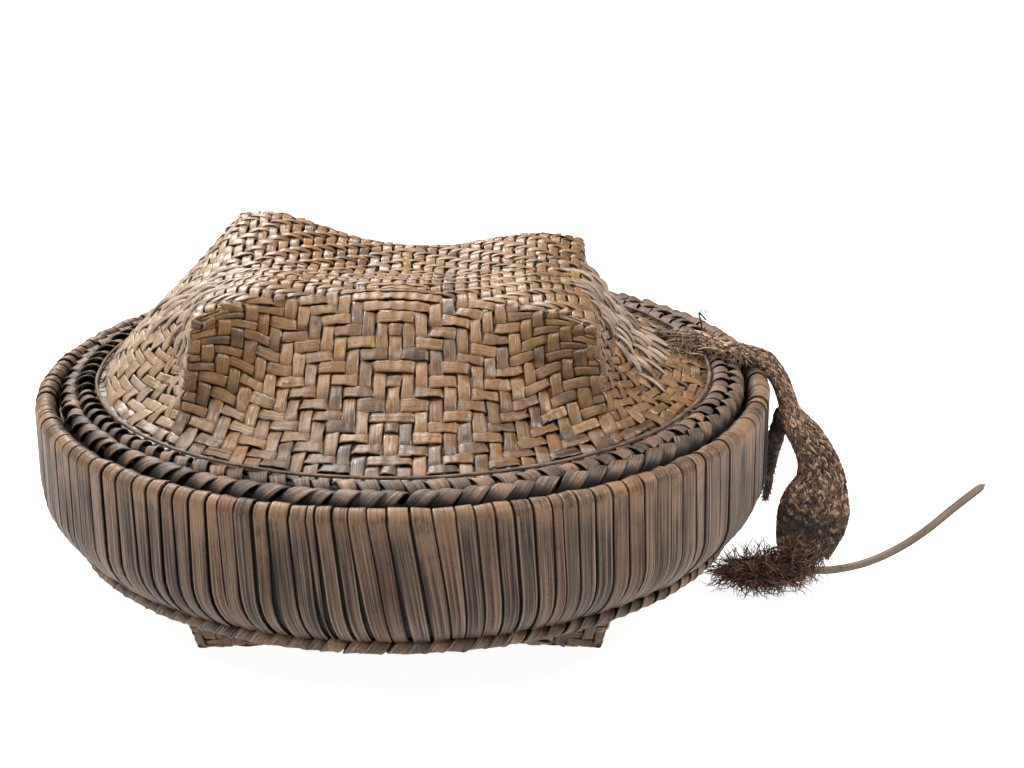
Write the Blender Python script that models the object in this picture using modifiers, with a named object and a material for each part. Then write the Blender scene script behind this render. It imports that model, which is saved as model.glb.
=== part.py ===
"""A round lidded basket: a wrapped hoop, a plaited base on four feet, a plaited lid and its strap."""
import math

import bmesh
import bpy
from mathutils import Vector

# General fits
TOUCH_GAP = 0.0003
PLAIT_THICKNESS = 0.0016

# Hoop, a band wound with strips of split cane
HOOP_RADIUS = 0.1525
HOOP_TOP = 0.090
HOOP_HEIGHT = 0.0575
HOOP_THICKNESS = 0.0085
HOOP_TUCK = 0.0115
STRIP_THICKNESS = 0.0012
STRIP_GROOVE = 0.0008
RUN_SPACING = 0.0004
RUN_COUNT = 16
RUN_STEPS = 4
STRIP_WIDTH_SHARES = (0.11, 0.12, 0.09, 0.13, 0.10, 0.12, 0.11, 0.09, 0.13)
BAND_PLACE_SHARES = (1.0, 0.38, 0.16, 0.0)
BELLY_SHARE = 0.38

# Rod along the lower edge of the hoop
LOWER_ROD_RADIUS = 0.0024

# Base plait
FOOT_REACH = 0.116
FOOT_HOLLOW = 0.006
FOOT_SIDE_REACH = 0.075
INNER_WALL_TOP = 0.0812
FOOT_FLAT_SHARE = 0.5625
FLARE_OUT_SHARE = 0.10
FLARE_RISE_SHARE = 0.45
WAIST_RUN_SHARE = 0.45

# Seat ring inside the hoop
SEAT_TOP = 0.0821
SEAT_WIDTH = 0.006
SEAT_HEIGHT = 0.006

# Lid borders
LID_RUNNING_GAP = 0.0029
BRAID_WIDTH = 0.0056
BRAID_HEIGHT = 0.0067
ROPE_RADIUS = 0.0031
RIM_HOOP_WIDTH = 0.0058
RIM_HOOP_HEIGHT = 0.0037
INNER_ROD_RADIUS = 0.00105
CORNER_ROUND_SHARE = 0.28

# Lid plait: the rise of its highest fold is measured up from the top of the hoop
LID_RISE = 0.050
LID_CORNER_REACH = 0.110
LID_FRONT_REACH = 0.044
LID_RIGHT_REACH = 0.074
LID_BACK_REACH = 0.063
LID_LEFT_REACH = 0.074
LID_FLANGE_WIDTH = 0.0047
LID_FLANGE_RISE = 0.0024
LID_FLANGE_DROP = 0.0008
WEAVE_RELIEF = 0.0010

# Folds round the lid's top, from left to right as each side is seen from outside it
FRONT_FOLD_SHARES = (0.920, 1.002, 0.966, 0.952, 0.956, 0.930, 0.922, 0.946, 0.874)
RIGHT_FOLD_SHARES = (0.874, 0.890, 0.870, 0.830, 0.800, 0.790, 0.790, 0.790, 0.730)
BACK_FOLD_SHARES = (0.730, 0.810, 0.794, 0.734, 0.738, 0.782, 0.894, 0.998, 0.974)
LEFT_FOLD_SHARES = (0.974, 0.990, 0.930, 0.870, 0.840, 0.860, 0.900, 0.950, 0.920)

# How the slopes of the lid bulge, by shares of their run and of their fall: the middles of the
# front, right, back and left sides, then the corners from the front left one round to the back left
SIDE_SHOULDER_SHARES = ((0.19, 0.03), (0.30, 0.32), (0.19, 0.03), (0.31, 0.10))
SIDE_HEEL_SHARES = ((0.54, 0.23), (0.63, 0.15), (0.54, 0.23), (0.12, 0.35))
CORNER_SHOULDER_SHARES = ((0.12, 0.30), (0.12, 0.30), (0.00, 0.36), (0.45, 0.16))
CORNER_HEEL_SHARES = ((0.80, 0.12), (0.80, 0.12), (0.86, 0.05), (0.19, 0.40))
FULLNESS_START_SHARE = 0.25
FULLNESS_SPAN_SHARE = 0.60

# Strap: each place is x, y, z, then the width's share and the turn's share of a right angle
STRAP_BAND_HALF_WIDTH = 0.0048
STRAP_BAND_HALF_THICKNESS = 0.0026
STRAP_TAIL_HALF_WIDTH = 0.0140
STRAP_TAIL_HALF_THICKNESS = 0.0045
STRAP_LEG_RADIUS = 0.0022
STRAP_SEAM = 0.0016
STRAP_TURN = math.pi / 2
STRAP_BAND_ROUTE = (
    (0.1146, 0.0240, 0.0990, 0.90, 0.0),
    (0.1230, 0.0200, 0.0982, 1.0, 0.0),
    (0.1330, 0.0160, 0.0956, 1.0, 0.0),
    (0.1435, 0.0125, 0.0936, 1.0, 0.0),
    (0.1527, 0.0090, 0.0914, 1.0, 0.0),
    (0.1583, 0.0052, 0.0850, 1.0, 0.1),
    (0.1612, 0.0013, 0.0780, 1.0, 0.2),
    (0.1630, -0.0012, 0.0720, 0.95, 0.3),
)
STRAP_TAIL_ROUTE = (
    (0.1630, -0.0012, 0.0720, 0.42, 0.3),
    (0.1660, -0.0032, 0.0668, 0.48, 0.3),
    (0.1700, -0.0054, 0.0615, 0.50, 0.5),
    (0.1740, -0.0080, 0.0540, 0.55, 0.7),
    (0.1757, -0.0110, 0.0452, 0.72, 0.9),
    (0.1740, -0.0140, 0.0368, 0.96, 1.0),
    (0.1722, -0.0160, 0.0290, 1.0, 1.0),
    (0.1705, -0.0178, 0.0228, 0.92, 1.0),
    (0.1688, -0.0193, 0.0157, 0.76, 1.0),
)
STRAP_LEG_ROUTE = (
    (0.1604, 0.0024, 0.0706, 1.0, 0.0),
    (0.1588, 0.0040, 0.0617, 1.0, 0.0),
    (0.1578, 0.0070, 0.0537, 1.0, 0.0),
    (0.1573, 0.0100, 0.0456, 1.0, 0.0),
    (0.1573, 0.0140, 0.0369, 1.0, 0.0),
    (0.1573, 0.0180, 0.0282, 0.9, 0.0),
    (0.1572, 0.0220, 0.0217, 0.8, 0.0),
)
TASSEL_CENTRE = (0.1515, -0.0242, 0.0098)
TASSEL_HALF_SIZE = (0.0222, 0.0107, 0.0091)
TONGUE_WIDTH = 0.0042
TONGUE_THICKNESS = 0.0012
TONGUE_ROUTE = (
    (0.1661, -0.0163, 0.0054),
    (0.1745, -0.0132, 0.0038),
    (0.1839, -0.0120, 0.0036),
    (0.1967, -0.0120, 0.0067),
    (0.2092, -0.0120, 0.0128),
    (0.2214, -0.0120, 0.0216),
    (0.2334, -0.0120, 0.0328),
    (0.2453, -0.0120, 0.0433),
)
LASHING_PLACE_SHARES = (0.27, 0.765)
LASHING_HALF_SIZE = (0.0085, 0.0075, 0.0040)
LASHING_HOLLOW = 0.0005

# Facet counts and how shapes are closed
WELD_SHARE = 1 / 30
SHARP_ANGLE = math.radians(50)
BASE_STEPS = 24
LID_STEPS = 36
PATCH_SHARE = 1 / 3
HOOP_FACETS = RUN_COUNT * RUN_STEPS
RING_FACETS = 48
TUBE_SIDES = 8
ROD_SIDES = 6
OVAL_SIDES = 12
SLOPE_STEP_SHARE = 0.01
BEND_SHARE = 0.5
SMOOTHING_SHARE = 0.35

LID_SIDE_REACH = LID_CORNER_REACH / math.sqrt(2)
FOOT_SIDE = FOOT_REACH / math.sqrt(2)
HOOP_CENTRE_RADIUS = HOOP_RADIUS - HOOP_THICKNESS / 2
BAND_TOP = HOOP_TOP - HOOP_THICKNESS / 2
BAND_RISE = HOOP_HEIGHT - HOOP_THICKNESS
HOOP_INNER_RADIUS = HOOP_RADIUS - HOOP_THICKNESS


def clear_scene():
    """Remove what a new file holds."""
    for thing in list(bpy.data.objects):
        bpy.data.objects.remove(thing)


def new_collection(name):
    """Make a collection in the scene."""
    collection = bpy.data.collections.new(name)
    bpy.context.scene.collection.children.link(collection)
    return collection


def finish(name, colour, roughness):
    """Make a plain material."""
    material = bpy.data.materials.new(name)
    material.use_nodes = True
    shader = material.node_tree.nodes["Principled BSDF"]
    shader.inputs["Base Color"].default_value = (*colour, 1.0)
    shader.inputs["Roughness"].default_value = roughness
    material.diffuse_color = (*colour, 1.0)
    return material


def move_to(thing, collection):
    """Leave an object in one collection only."""
    for home in list(thing.users_collection):
        home.objects.unlink(thing)
    collection.objects.link(thing)


def place(name, mesh, collection, material):
    """Put a mesh in the scene as a named piece with its finish."""
    piece = bpy.data.objects.new(name, mesh)
    collection.objects.link(piece)
    dress(piece, material)
    return piece


def dress(piece, material):
    """Give a piece its finish and smooth shading."""
    piece.data.materials.clear()
    piece.data.materials.append(material)
    piece.data.shade_smooth()
    piece.data.set_sharp_from_angle(angle=SHARP_ANGLE)


def applied_mesh(piece):
    """Return a copy of the mesh with the modifiers in it, and remove the object."""
    graph = bpy.context.evaluated_depsgraph_get()
    mesh = bpy.data.meshes.new_from_object(piece.evaluated_get(graph))
    bpy.data.objects.remove(piece)
    return mesh


def outline_object(name, outline, collection):
    """Make a closed outline of edges at +X, for a Screw modifier to turn."""
    mesh = bpy.data.meshes.new(name)
    count = len(outline)
    points = [(radius, 0, height) for radius, height in outline]
    mesh.from_pydata(points, [(i, (i + 1) % count) for i in range(count)], [])
    thing = bpy.data.objects.new(name, mesh)
    collection.objects.link(thing)
    return thing


def add_turn(thing, angle, steps):
    """Turn an outline about +Z."""
    turn = thing.modifiers.new("turn", 'SCREW')
    turn.axis = 'Z'
    turn.angle = angle
    turn.steps = steps
    turn.render_steps = steps
    turn.use_merge_vertices = angle >= math.tau
    turn.merge_threshold = TOUCH_GAP * WELD_SHARE
    turn.use_smooth_shade = True


def turned_ring(name, outline, facets, collection, material):
    """Turn a closed outline all the way round."""
    ring = outline_object(name, outline, collection)
    add_turn(ring, math.tau, facets)
    return place(name, applied_mesh(ring), collection, material)


def round_box_outline(inner, outer, low, high):
    """Outline of a ring with cut corners, down the outer side first."""
    cut = CORNER_ROUND_SHARE * min(outer - inner, high - low)
    return [
        (outer - cut, high), (outer, high - cut), (outer, low + cut), (outer - cut, low),
        (inner + cut, low), (inner, low + cut), (inner, high - cut), (inner + cut, high),
    ]


def box_outline(inner, outer, low, high):
    """Outline of a plain flat ring, down the outer side first."""
    return [(outer, high), (outer, low), (inner, low), (inner, high)]


def round_ring(name, major, minor, height, sides, collection, material):
    """Make a ring of round section that lies flat at a height."""
    bpy.ops.mesh.primitive_torus_add(
        major_radius=major, minor_radius=minor, major_segments=RING_FACETS,
        minor_segments=sides, location=(0, 0, height))
    ring = bpy.context.object
    ring.name = name
    move_to(ring, collection)
    dress(ring, material)
    return ring


# Hoop
def band_point(share, offset):
    """A point beside the band's middle line: share 0 is its foot and 1 its top, and offset is outward."""
    tuck_left = max(0, 1 - share / BELLY_SHARE)
    radius = HOOP_CENTRE_RADIUS - HOOP_TUCK * tuck_left ** 2
    height = BAND_TOP - BAND_RISE * (1 - share)
    lean = 2 * HOOP_TUCK * tuck_left / BELLY_SHARE
    length = math.hypot(lean, BAND_RISE)
    return radius + offset * BAND_RISE / length, height - offset * lean / length


def band_tip(share, reach):
    """The rounded end of the band, reach beyond its middle line's end."""
    radius, height = band_point(share, 0)
    side_radius, side_height = band_point(share, reach)
    across = (side_radius - radius, side_height - height)
    turn = 1 if share else -1
    return radius - turn * across[1], height + turn * across[0]


def band_outline(half_thickness):
    """The band's closed section, down its outer side first."""
    outer = [band_point(share, half_thickness) for share in BAND_PLACE_SHARES]
    inner = [band_point(share, -half_thickness) for share in reversed(BAND_PLACE_SHARES)]
    return [band_tip(1, half_thickness), *outer, band_tip(0, half_thickness), *inner]


def core_half_thickness():
    """Half the thickness of the band inside its wrapping."""
    return HOOP_THICKNESS / 2 - STRIP_THICKNESS - TOUCH_GAP


def make_hoop_core(collection, material):
    """The bent band inside the wrapping."""
    outline = band_outline(core_half_thickness())
    return turned_ring("hoop_core", outline, HOOP_FACETS, collection, material)


def strip_angles():
    """Angles of the grooves between strips and of the strips' middles, over one run."""
    run_angle = math.tau / RUN_COUNT - RUN_SPACING / HOOP_RADIUS
    angles = [0]
    used = 0
    for width in STRIP_WIDTH_SHARES:
        angles.append((used + width / 2) * run_angle)
        used += width
        angles.append(used * run_angle)
    return [angle / used for angle in angles]


def wrap_blank(cutters):
    """One run of the wrapping as a solid block with a groove between its strips."""
    steps = 2 * len(STRIP_WIDTH_SHARES)
    outline = outline_object("wrap_outline", band_outline(HOOP_THICKNESS / 2), cutters)
    add_turn(outline, math.tau / RUN_COUNT, steps)
    mesh = applied_mesh(outline)
    places = strip_angles()
    shape = bmesh.new()
    shape.from_mesh(mesh)
    open_edges = [edge for edge in shape.edges if edge.is_boundary]
    bmesh.ops.holes_fill(shape, edges=open_edges)
    bmesh.ops.recalc_face_normals(shape, faces=shape.faces)
    spread = math.tau / RUN_COUNT / steps
    sunk = {corner: corner.co - corner.normal * STRIP_GROOVE for corner in shape.verts}
    for corner, lower in sunk.items():
        column = round(math.atan2(corner.co.y, corner.co.x) % math.tau / spread)
        is_inner_groove = column % 2 == 0 and 0 < column < steps
        spot = lower if is_inner_groove else corner.co
        radius = math.hypot(spot.x, spot.y)
        angle = places[column]
        corner.co = (radius * math.cos(angle), radius * math.sin(angle), spot.z)
    shape.to_mesh(mesh)
    shape.free()
    return mesh


def make_hoop_wrap(collection, cutters, material):
    """The wrapping, as equal runs of strips round the band."""
    room = turned_ring(
        "band_room", band_outline(core_half_thickness() + TOUCH_GAP), HOOP_FACETS, cutters, material)
    room.hide_render = True
    room.display_type = 'WIRE'
    first = place("wrap_run", wrap_blank(cutters), collection, material)
    cut = first.modifiers.new("room for the band", 'BOOLEAN')
    cut.operation = 'DIFFERENCE'
    cut.solver = 'EXACT'
    cut.object = room
    bpy.context.view_layer.update()
    mesh = applied_mesh(first)
    mesh.name = "hoop_wrap"
    for number in range(RUN_COUNT):
        run = place(f"hoop_wrap_{number + 1:02d}", mesh, collection, material)
        run.rotation_euler.z = math.tau * number / RUN_COUNT


def make_lower_rod(collection, material):
    """The wrapped rod under the lower edge of the hoop."""
    return round_ring("lower_rod", lower_rod_radius(), LOWER_ROD_RADIUS, lower_rod_height(),
                      ROD_SIDES, collection, material)


def lower_rod_radius():
    """The rod runs under the foot of the band."""
    return band_point(0, 0)[0]


def lower_rod_height():
    """The rod touches the lowest point of the wrapping."""
    lowest = min(height for radius, height in band_outline(HOOP_THICKNESS / 2))
    return lowest - TOUCH_GAP - LOWER_ROD_RADIUS


# Plaited sheets
def ring_share(u, v):
    """How far a grid point lies from the middle, 1 on the outer edge."""
    return max(abs(u), abs(v))


def side_of(u, v):
    """Side number (front, right, back, left) and the place along it, from -1 to 1."""
    level = ring_share(u, v)
    if v == -level:
        return 0, u / level
    if u == level:
        return 1, v / level
    if v == level:
        return 2, -u / level
    return 3, -v / level


def bowed(reach, side_reach, share):
    """Distance of a bowed edge from the middle at a place along it."""
    return reach + (side_reach - reach) * share ** 2


def lerp(low, high, share):
    """A value between two others."""
    return low + (high - low) * share


def lid_edge(side, along):
    """A point on the edge of the lid's raised top."""
    reaches = (LID_FRONT_REACH, LID_RIGHT_REACH, LID_BACK_REACH, LID_LEFT_REACH)
    folds = (FRONT_FOLD_SHARES, RIGHT_FOLD_SHARES, BACK_FOLD_SHARES, LEFT_FOLD_SHARES)
    out = bowed(reaches[side], LID_SIDE_REACH, along)
    aside = LID_SIDE_REACH * along
    share = on_route([(fold,) for fold in folds[side]], (1 + along) / 2)[0]
    return turned_about_z(Vector((aside, -out, HOOP_TOP + LID_RISE * share)), side)


def foot_edge(side, along):
    """A point on the edge of the base's square bottom."""
    out = bowed(FOOT_SIDE_REACH, FOOT_SIDE, along)
    height = FOOT_HOLLOW * max(0, 1 - abs(along) / FOOT_FLAT_SHARE)
    return turned_about_z(Vector((FOOT_SIDE * along, -out, height)), side)


def turned_about_z(point, quarters):
    """Turn a point by quarter turns about +Z."""
    x, y, z = point
    for _ in range(quarters):
        x, y = -y, x
    return Vector((x, y, z))


def patch_point(edge, a, b):
    """A point inside four edges, blended from all of them."""
    front, back = edge(0, a), edge(2, -a)
    left, right = edge(3, -b), edge(1, b)
    across = left.lerp(right, (1 + a) / 2)
    along = front.lerp(back, (1 + b) / 2)
    low = edge(0, -1).lerp(edge(0, 1), (1 + a) / 2)
    high = edge(2, 1).lerp(edge(2, -1), (1 + a) / 2)
    return across + along - low.lerp(high, (1 + b) / 2)


def rim_point(side, along, radius, height):
    """A point on a level circle, matched to a place along a side."""
    angle = (side - 1 + along / 2) * math.pi / 2
    return Vector((radius * math.cos(angle), radius * math.sin(angle), height))


def bezier(points, share):
    """A point on a cubic curve."""
    rest = 1 - share
    start, first, second, end = points
    return (start * rest ** 3 + first * (3 * rest ** 2 * share)
            + second * (3 * rest * share ** 2) + end * share ** 3)


def smooth_step(value):
    """An even ramp from 0 to 1."""
    value = min(1, max(0, value))
    return value * value * (3 - 2 * value)


def rope_centre_radius():
    """The inner border lies just inside the outer braid."""
    return braid_outer_radius() - BRAID_WIDTH - TOUCH_GAP - ROPE_RADIUS


def braid_outer_radius():
    """The lid's border runs inside the hoop."""
    return HOOP_INNER_RADIUS - LID_RUNNING_GAP


def braid_bottom():
    """The lid's border rests on the seat ring."""
    return SEAT_TOP + TOUCH_GAP


def rope_centre_height():
    """The inner border lies on the hoop that stiffens the rim."""
    return braid_bottom() + RIM_HOOP_HEIGHT + TOUCH_GAP + ROPE_RADIUS


def lid_rim_radius():
    """The plait ends where the inner border begins."""
    return rope_centre_radius() - ROPE_RADIUS - TOUCH_GAP


def flange_top():
    """Height of the narrow level flange, which carries the inner rod."""
    return HOOP_TOP + LID_FLANGE_RISE


def handle_shares(middles, corners, side, along):
    """The shares that draw out a slope's curve at a place, from its middle to its corners."""
    fullness = smooth_step((abs(along) - FULLNESS_START_SHARE) / FULLNESS_SPAN_SHARE)
    corner = corners[side] if along < 0 else corners[(side + 1) % 4]
    return [lerp(middle, end, fullness) for middle, end in zip(middles[side], corner)]


def lid_flank_point(side, along, down):
    """A point on the lid's sloping side: down is 0 at the top edge and 1 at the flange."""
    start = lid_edge(side, along)
    end = rim_point(side, along, lid_rim_radius() - LID_FLANGE_WIDTH, flange_top())
    run = Vector((end.x - start.x, end.y - start.y, 0))
    drop = Vector((0, 0, start.z - end.z))
    out, fall = handle_shares(SIDE_SHOULDER_SHARES, CORNER_SHOULDER_SHARES, side, along)
    back, rise = handle_shares(SIDE_HEEL_SHARES, CORNER_HEEL_SHARES, side, along)
    shoulder = start + run * out - drop * fall
    heel = end - run * back + drop * rise
    return bezier((start, shoulder, heel, end), down)


def lid_point(u, v):
    """The lid's outer surface over a square grid."""
    level = ring_share(u, v)
    if level <= PATCH_SHARE + WELD_SHARE / LID_STEPS:
        return patch_point(lid_edge, u / PATCH_SHARE, v / PATCH_SHARE)
    side, along = side_of(u, v)
    flange_share = 1 - 2 / LID_STEPS
    if level > flange_share + 1 / LID_STEPS:
        return rim_point(side, along, lid_rim_radius(), flange_top() - LID_FLANGE_DROP)
    return lid_flank_point(side, along, (level - PATCH_SHARE) / (flange_share - PATCH_SHARE))


def inner_wall_outline():
    """The plait's outer face inside the hoop, from its waist up."""
    gap = HOOP_THICKNESS / 2 + TOUCH_GAP
    points = [band_point(share, -gap) for share in reversed(BAND_PLACE_SHARES)]
    top_radius = points[-1][0]
    beside_tip = band_tip(0, gap)
    waist = (beside_tip[0], lower_rod_height())
    return [waist, beside_tip, *points[:-1], (top_radius, INNER_WALL_TOP)]


def base_point(u, v):
    """The base's outer surface over a square grid."""
    level = ring_share(u, v)
    if level <= PATCH_SHARE + WELD_SHARE / BASE_STEPS:
        point = patch_point(foot_edge, u / PATCH_SHARE, v / PATCH_SHARE)
        spread = abs(u * v) / PATCH_SHARE ** 2
        point.z = FOOT_HOLLOW * max(0, 1 - spread / FOOT_FLAT_SHARE)
        return point
    side, along = side_of(u, v)
    wall = inner_wall_outline()
    wall_step = 2 / BASE_STEPS
    steps_up = (level - 1) / wall_step + len(wall) - 1
    if steps_up >= 0:
        radius, height = wall[round(steps_up)]
        return rim_point(side, along, radius, height)
    waist_share = 1 - (len(wall) - 1) * wall_step
    start = foot_edge(side, along)
    end = rim_point(side, along, *wall[0])
    run = Vector((end.x - start.x, end.y - start.y, 0))
    rise = Vector((0, 0, end.z - start.z))
    first = start + run * FLARE_OUT_SHARE + rise * FLARE_RISE_SHARE
    second = end - run * WAIST_RUN_SHARE
    return bezier((start, first, second, end), (level - PATCH_SHARE) / (waist_share - PATCH_SHARE))


def plaited_sheet(name, surface, steps, side_of_cloth, collection, material):
    """Bend a square grid to a surface and give it its thickness."""
    bpy.ops.mesh.primitive_grid_add(x_subdivisions=steps, y_subdivisions=steps, size=2)
    sheet = bpy.context.object
    sheet.name = name
    move_to(sheet, collection)
    half = steps / 2
    for corner in sheet.data.vertices:
        u = round(corner.co.x * half) / half
        v = round(corner.co.y * half) / half
        corner.co = surface(u, v)
    shell = sheet.modifiers.new("thickness", 'SOLIDIFY')
    shell.thickness = PLAIT_THICKNESS
    shell.offset = side_of_cloth
    dress(sheet, material)
    return sheet


def soften(sheet):
    """Round the folds of a sheet, with its rim left where it is."""
    shape = bmesh.new()
    shape.from_mesh(sheet.data)
    level = flange_top() + TOUCH_GAP
    inner = [corner for corner in shape.verts if corner.co.z > level]
    bmesh.ops.smooth_vert(shape, verts=inner, factor=SMOOTHING_SHARE,
                          use_axis_x=True, use_axis_y=True, use_axis_z=True)
    shape.to_mesh(sheet.data)
    shape.free()


def raise_weave(sheet):
    """Lift every other crossing of the coarse plait and lower those between, clear of what lies on it."""
    shape = bmesh.new()
    shape.from_mesh(sheet.data)
    shape.normal_update()
    seat = lashing_seat()[0]
    level = flange_top() + WEAVE_RELIEF
    row = LID_STEPS + 1
    ways = {}
    for corner in shape.verts:
        is_clear = (corner.co - seat).length > 2 * LASHING_HALF_SIZE[0] and corner.co.z > level
        is_lifted = (corner.index % row + corner.index // row) % 2 == 0
        if is_clear:
            ways[corner] = corner.normal * (WEAVE_RELIEF / 2 if is_lifted else -WEAVE_RELIEF / 2)
    for corner, way in ways.items():
        corner.co += way
    shape.to_mesh(sheet.data)
    shape.free()


def make_base(collection, plait, cane):
    """The plaited base and the ring that the lid sits on."""
    plaited_sheet("base_plait", base_point, BASE_STEPS, 1, collection, plait)
    wall_inside = inner_wall_outline()[-1][0] - PLAIT_THICKNESS
    outer = wall_inside - TOUCH_GAP
    outline = box_outline(outer - SEAT_WIDTH, outer, SEAT_TOP - SEAT_HEIGHT, SEAT_TOP)
    turned_ring("base_seat_ring", outline, RING_FACETS, collection, cane)


def make_lid(collection, plait, cane, border):
    """The plaited lid and its borders."""
    sheet = plaited_sheet("lid_plait", lid_point, LID_STEPS, -1, collection, plait)
    soften(sheet)
    raise_weave(sheet)
    outer = braid_outer_radius()
    inner = outer - BRAID_WIDTH
    braid = round_box_outline(inner, outer, braid_bottom(), braid_bottom() + BRAID_HEIGHT)
    turned_ring("lid_braid_border", braid, RING_FACETS, collection, border)
    hoop_outer = inner - TOUCH_GAP
    hoop = box_outline(hoop_outer - RIM_HOOP_WIDTH, hoop_outer, braid_bottom(),
                       braid_bottom() + RIM_HOOP_HEIGHT)
    turned_ring("lid_rim_hoop", hoop, RING_FACETS, collection, cane)
    round_ring("lid_rope_border", rope_centre_radius(), ROPE_RADIUS, rope_centre_height(),
               TUBE_SIDES, collection, border)
    rod_height = flange_top() + TOUCH_GAP + INNER_ROD_RADIUS
    rod_radius = lid_rim_radius() - LID_FLANGE_WIDTH / 2
    round_ring("lid_inner_rod", rod_radius, INNER_ROD_RADIUS, rod_height, ROD_SIDES,
               collection, border)


# Strap
def on_route(route, share):
    """A place on the smooth curve through a route's points, with its width and turn."""
    spot = share * (len(route) - 1)
    index = min(int(spot), len(route) - 2)
    t = spot - index
    before = route[max(index - 1, 0)]
    start, end = route[index], route[index + 1]
    after = route[min(index + 2, len(route) - 1)]
    return [
        a + (b - z) * BEND_SHARE * t
        + (2 * z - 5 * a + 4 * b - c) * BEND_SHARE * t ** 2
        + (3 * a - z - 3 * b + c) * BEND_SHARE * t ** 3
        for z, a, b, c in zip(before, start, end, after)
    ]


def oval_profile(name, half_width, half_thickness, cutters):
    """A flat oval that a strap is drawn along."""
    curve = bpy.data.curves.new(name, 'CURVE')
    curve.dimensions = '2D'
    spline = curve.splines.new('POLY')
    spline.points.add(OVAL_SIDES - 1)
    for number, point in enumerate(spline.points):
        angle = math.tau * number / OVAL_SIDES
        point.co = (half_width * math.cos(angle), half_thickness * math.sin(angle), 0, 1)
    spline.use_cyclic_u = True
    profile = bpy.data.objects.new(name, curve)
    cutters.objects.link(profile)
    profile.hide_render = True
    profile.display_type = 'WIRE'
    return profile


def strap_piece(name, route, profile, gap, collection, material):
    """Draw a profile along a route, a little short of the route's first point."""
    curve = bpy.data.curves.new(name, 'CURVE')
    curve.dimensions = '3D'
    curve.bevel_mode = 'OBJECT'
    curve.bevel_object = profile
    curve.use_fill_caps = True
    curve.twist_mode = 'Z_UP'
    spline = curve.splines.new('POLY')
    count = 2 * len(route)
    spline.points.add(count - 1)
    first = Vector(route[0][:3])
    start_share = gap / (Vector(route[1][:3]) - first).length / (len(route) - 1)
    for number, point in enumerate(spline.points):
        share = lerp(start_share, 1, number / (count - 1))
        x, y, z, width, turn = on_route(route, share)
        point.co = (x, y, z, 1)
        point.radius = width
        point.tilt = turn * STRAP_TURN
    tube = bpy.data.objects.new(name, curve)
    collection.objects.link(tube)
    return place(name, welded(tube), collection, material)


def welded(tube):
    """Turn a curve into a mesh whose caps are joined to its sides."""
    bpy.context.view_layer.update()
    mesh = applied_mesh(tube)
    shape = bmesh.new()
    shape.from_mesh(mesh)
    bmesh.ops.remove_doubles(shape, verts=shape.verts, dist=TOUCH_GAP * WELD_SHARE)
    bmesh.ops.recalc_face_normals(shape, faces=shape.faces)
    shape.to_mesh(mesh)
    shape.free()
    return mesh


def bead(name, centre, half_size, up, collection, material):
    """A rounded knot or tuft whose flat side faces along up."""
    bpy.ops.mesh.primitive_uv_sphere_add(segments=2 * TUBE_SIDES, ring_count=TUBE_SIDES, radius=1)
    knot = bpy.context.object
    knot.name = name
    knot.scale = half_size
    knot.rotation_euler = up.to_track_quat('Z', 'Y').to_euler()
    knot.location = centre
    move_to(knot, collection)
    dress(knot, material)
    return knot


def lashing_seat():
    """The place on the lid's right side that carries the knot, and the way that its surface faces."""
    along, down = LASHING_PLACE_SHARES
    seat = lid_flank_point(1, along, down)
    aside = lid_flank_point(1, along + SLOPE_STEP_SHARE, down) - seat
    below = lid_flank_point(1, along, down + SLOPE_STEP_SHARE) - seat
    return seat, below.cross(aside).normalized()


def make_tongue(collection, cutters, material):
    """The stiff split of cane under the tassel."""
    profile = oval_profile("tongue_profile", TONGUE_WIDTH / 2, TONGUE_THICKNESS / 2, cutters)
    route = [(*place_, 1.0, 0.0) for place_ in TONGUE_ROUTE]
    strap_piece("cane_tongue", route, profile, 0, collection, material)


def make_strap(collection, cutters, fibre, frayed, cane):
    """The strap, its knot on the lid, its loose ends and the tongue of cane."""
    seat, up = lashing_seat()
    lift = LASHING_HALF_SIZE[2] + LASHING_HOLLOW + TOUCH_GAP
    bead("strap_lashing", seat + up * lift, LASHING_HALF_SIZE, up, collection, fibre)
    band = oval_profile("band_profile", STRAP_BAND_HALF_WIDTH, STRAP_BAND_HALF_THICKNESS, cutters)
    strap_piece("strap_band", STRAP_BAND_ROUTE, band, 0, collection, fibre)
    tail = oval_profile("tail_profile", STRAP_TAIL_HALF_WIDTH, STRAP_TAIL_HALF_THICKNESS, cutters)
    strap_piece("strap_tail", STRAP_TAIL_ROUTE, tail, STRAP_SEAM, collection, fibre)
    leg = oval_profile("leg_profile", STRAP_LEG_RADIUS, STRAP_LEG_RADIUS, cutters)
    strap_piece("strap_leg", STRAP_LEG_ROUTE, leg, 0, collection, fibre)
    bead("strap_tassel", TASSEL_CENTRE, TASSEL_HALF_SIZE, Vector((0, 0, 1)), collection, frayed)
    make_tongue(collection, cutters, cane)


def main():
    """Make the whole basket."""
    clear_scene()
    basket = new_collection("lidded_basket")
    cutters = new_collection("cutters_and_guides")
    plait = finish("plaited_split_cane", (0.40, 0.24, 0.10), 0.62)
    wrap = finish("wound_split_cane", (0.17, 0.10, 0.065), 0.55)
    bare = finish("bare_cane", (0.30, 0.19, 0.10), 0.6)
    border = finish("dark_border_cane", (0.11, 0.075, 0.045), 0.6)
    fibre = finish("braided_fibre", (0.15, 0.09, 0.04), 0.9)
    frayed = finish("frayed_fibre", (0.05, 0.022, 0.014), 0.95)
    make_hoop_core(basket, bare)
    make_hoop_wrap(basket, cutters, wrap)
    make_lower_rod(basket, border)
    make_base(basket, plait, bare)
    make_lid(basket, plait, bare, border)
    make_strap(basket, cutters, fibre, frayed, bare)


main()
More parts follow.
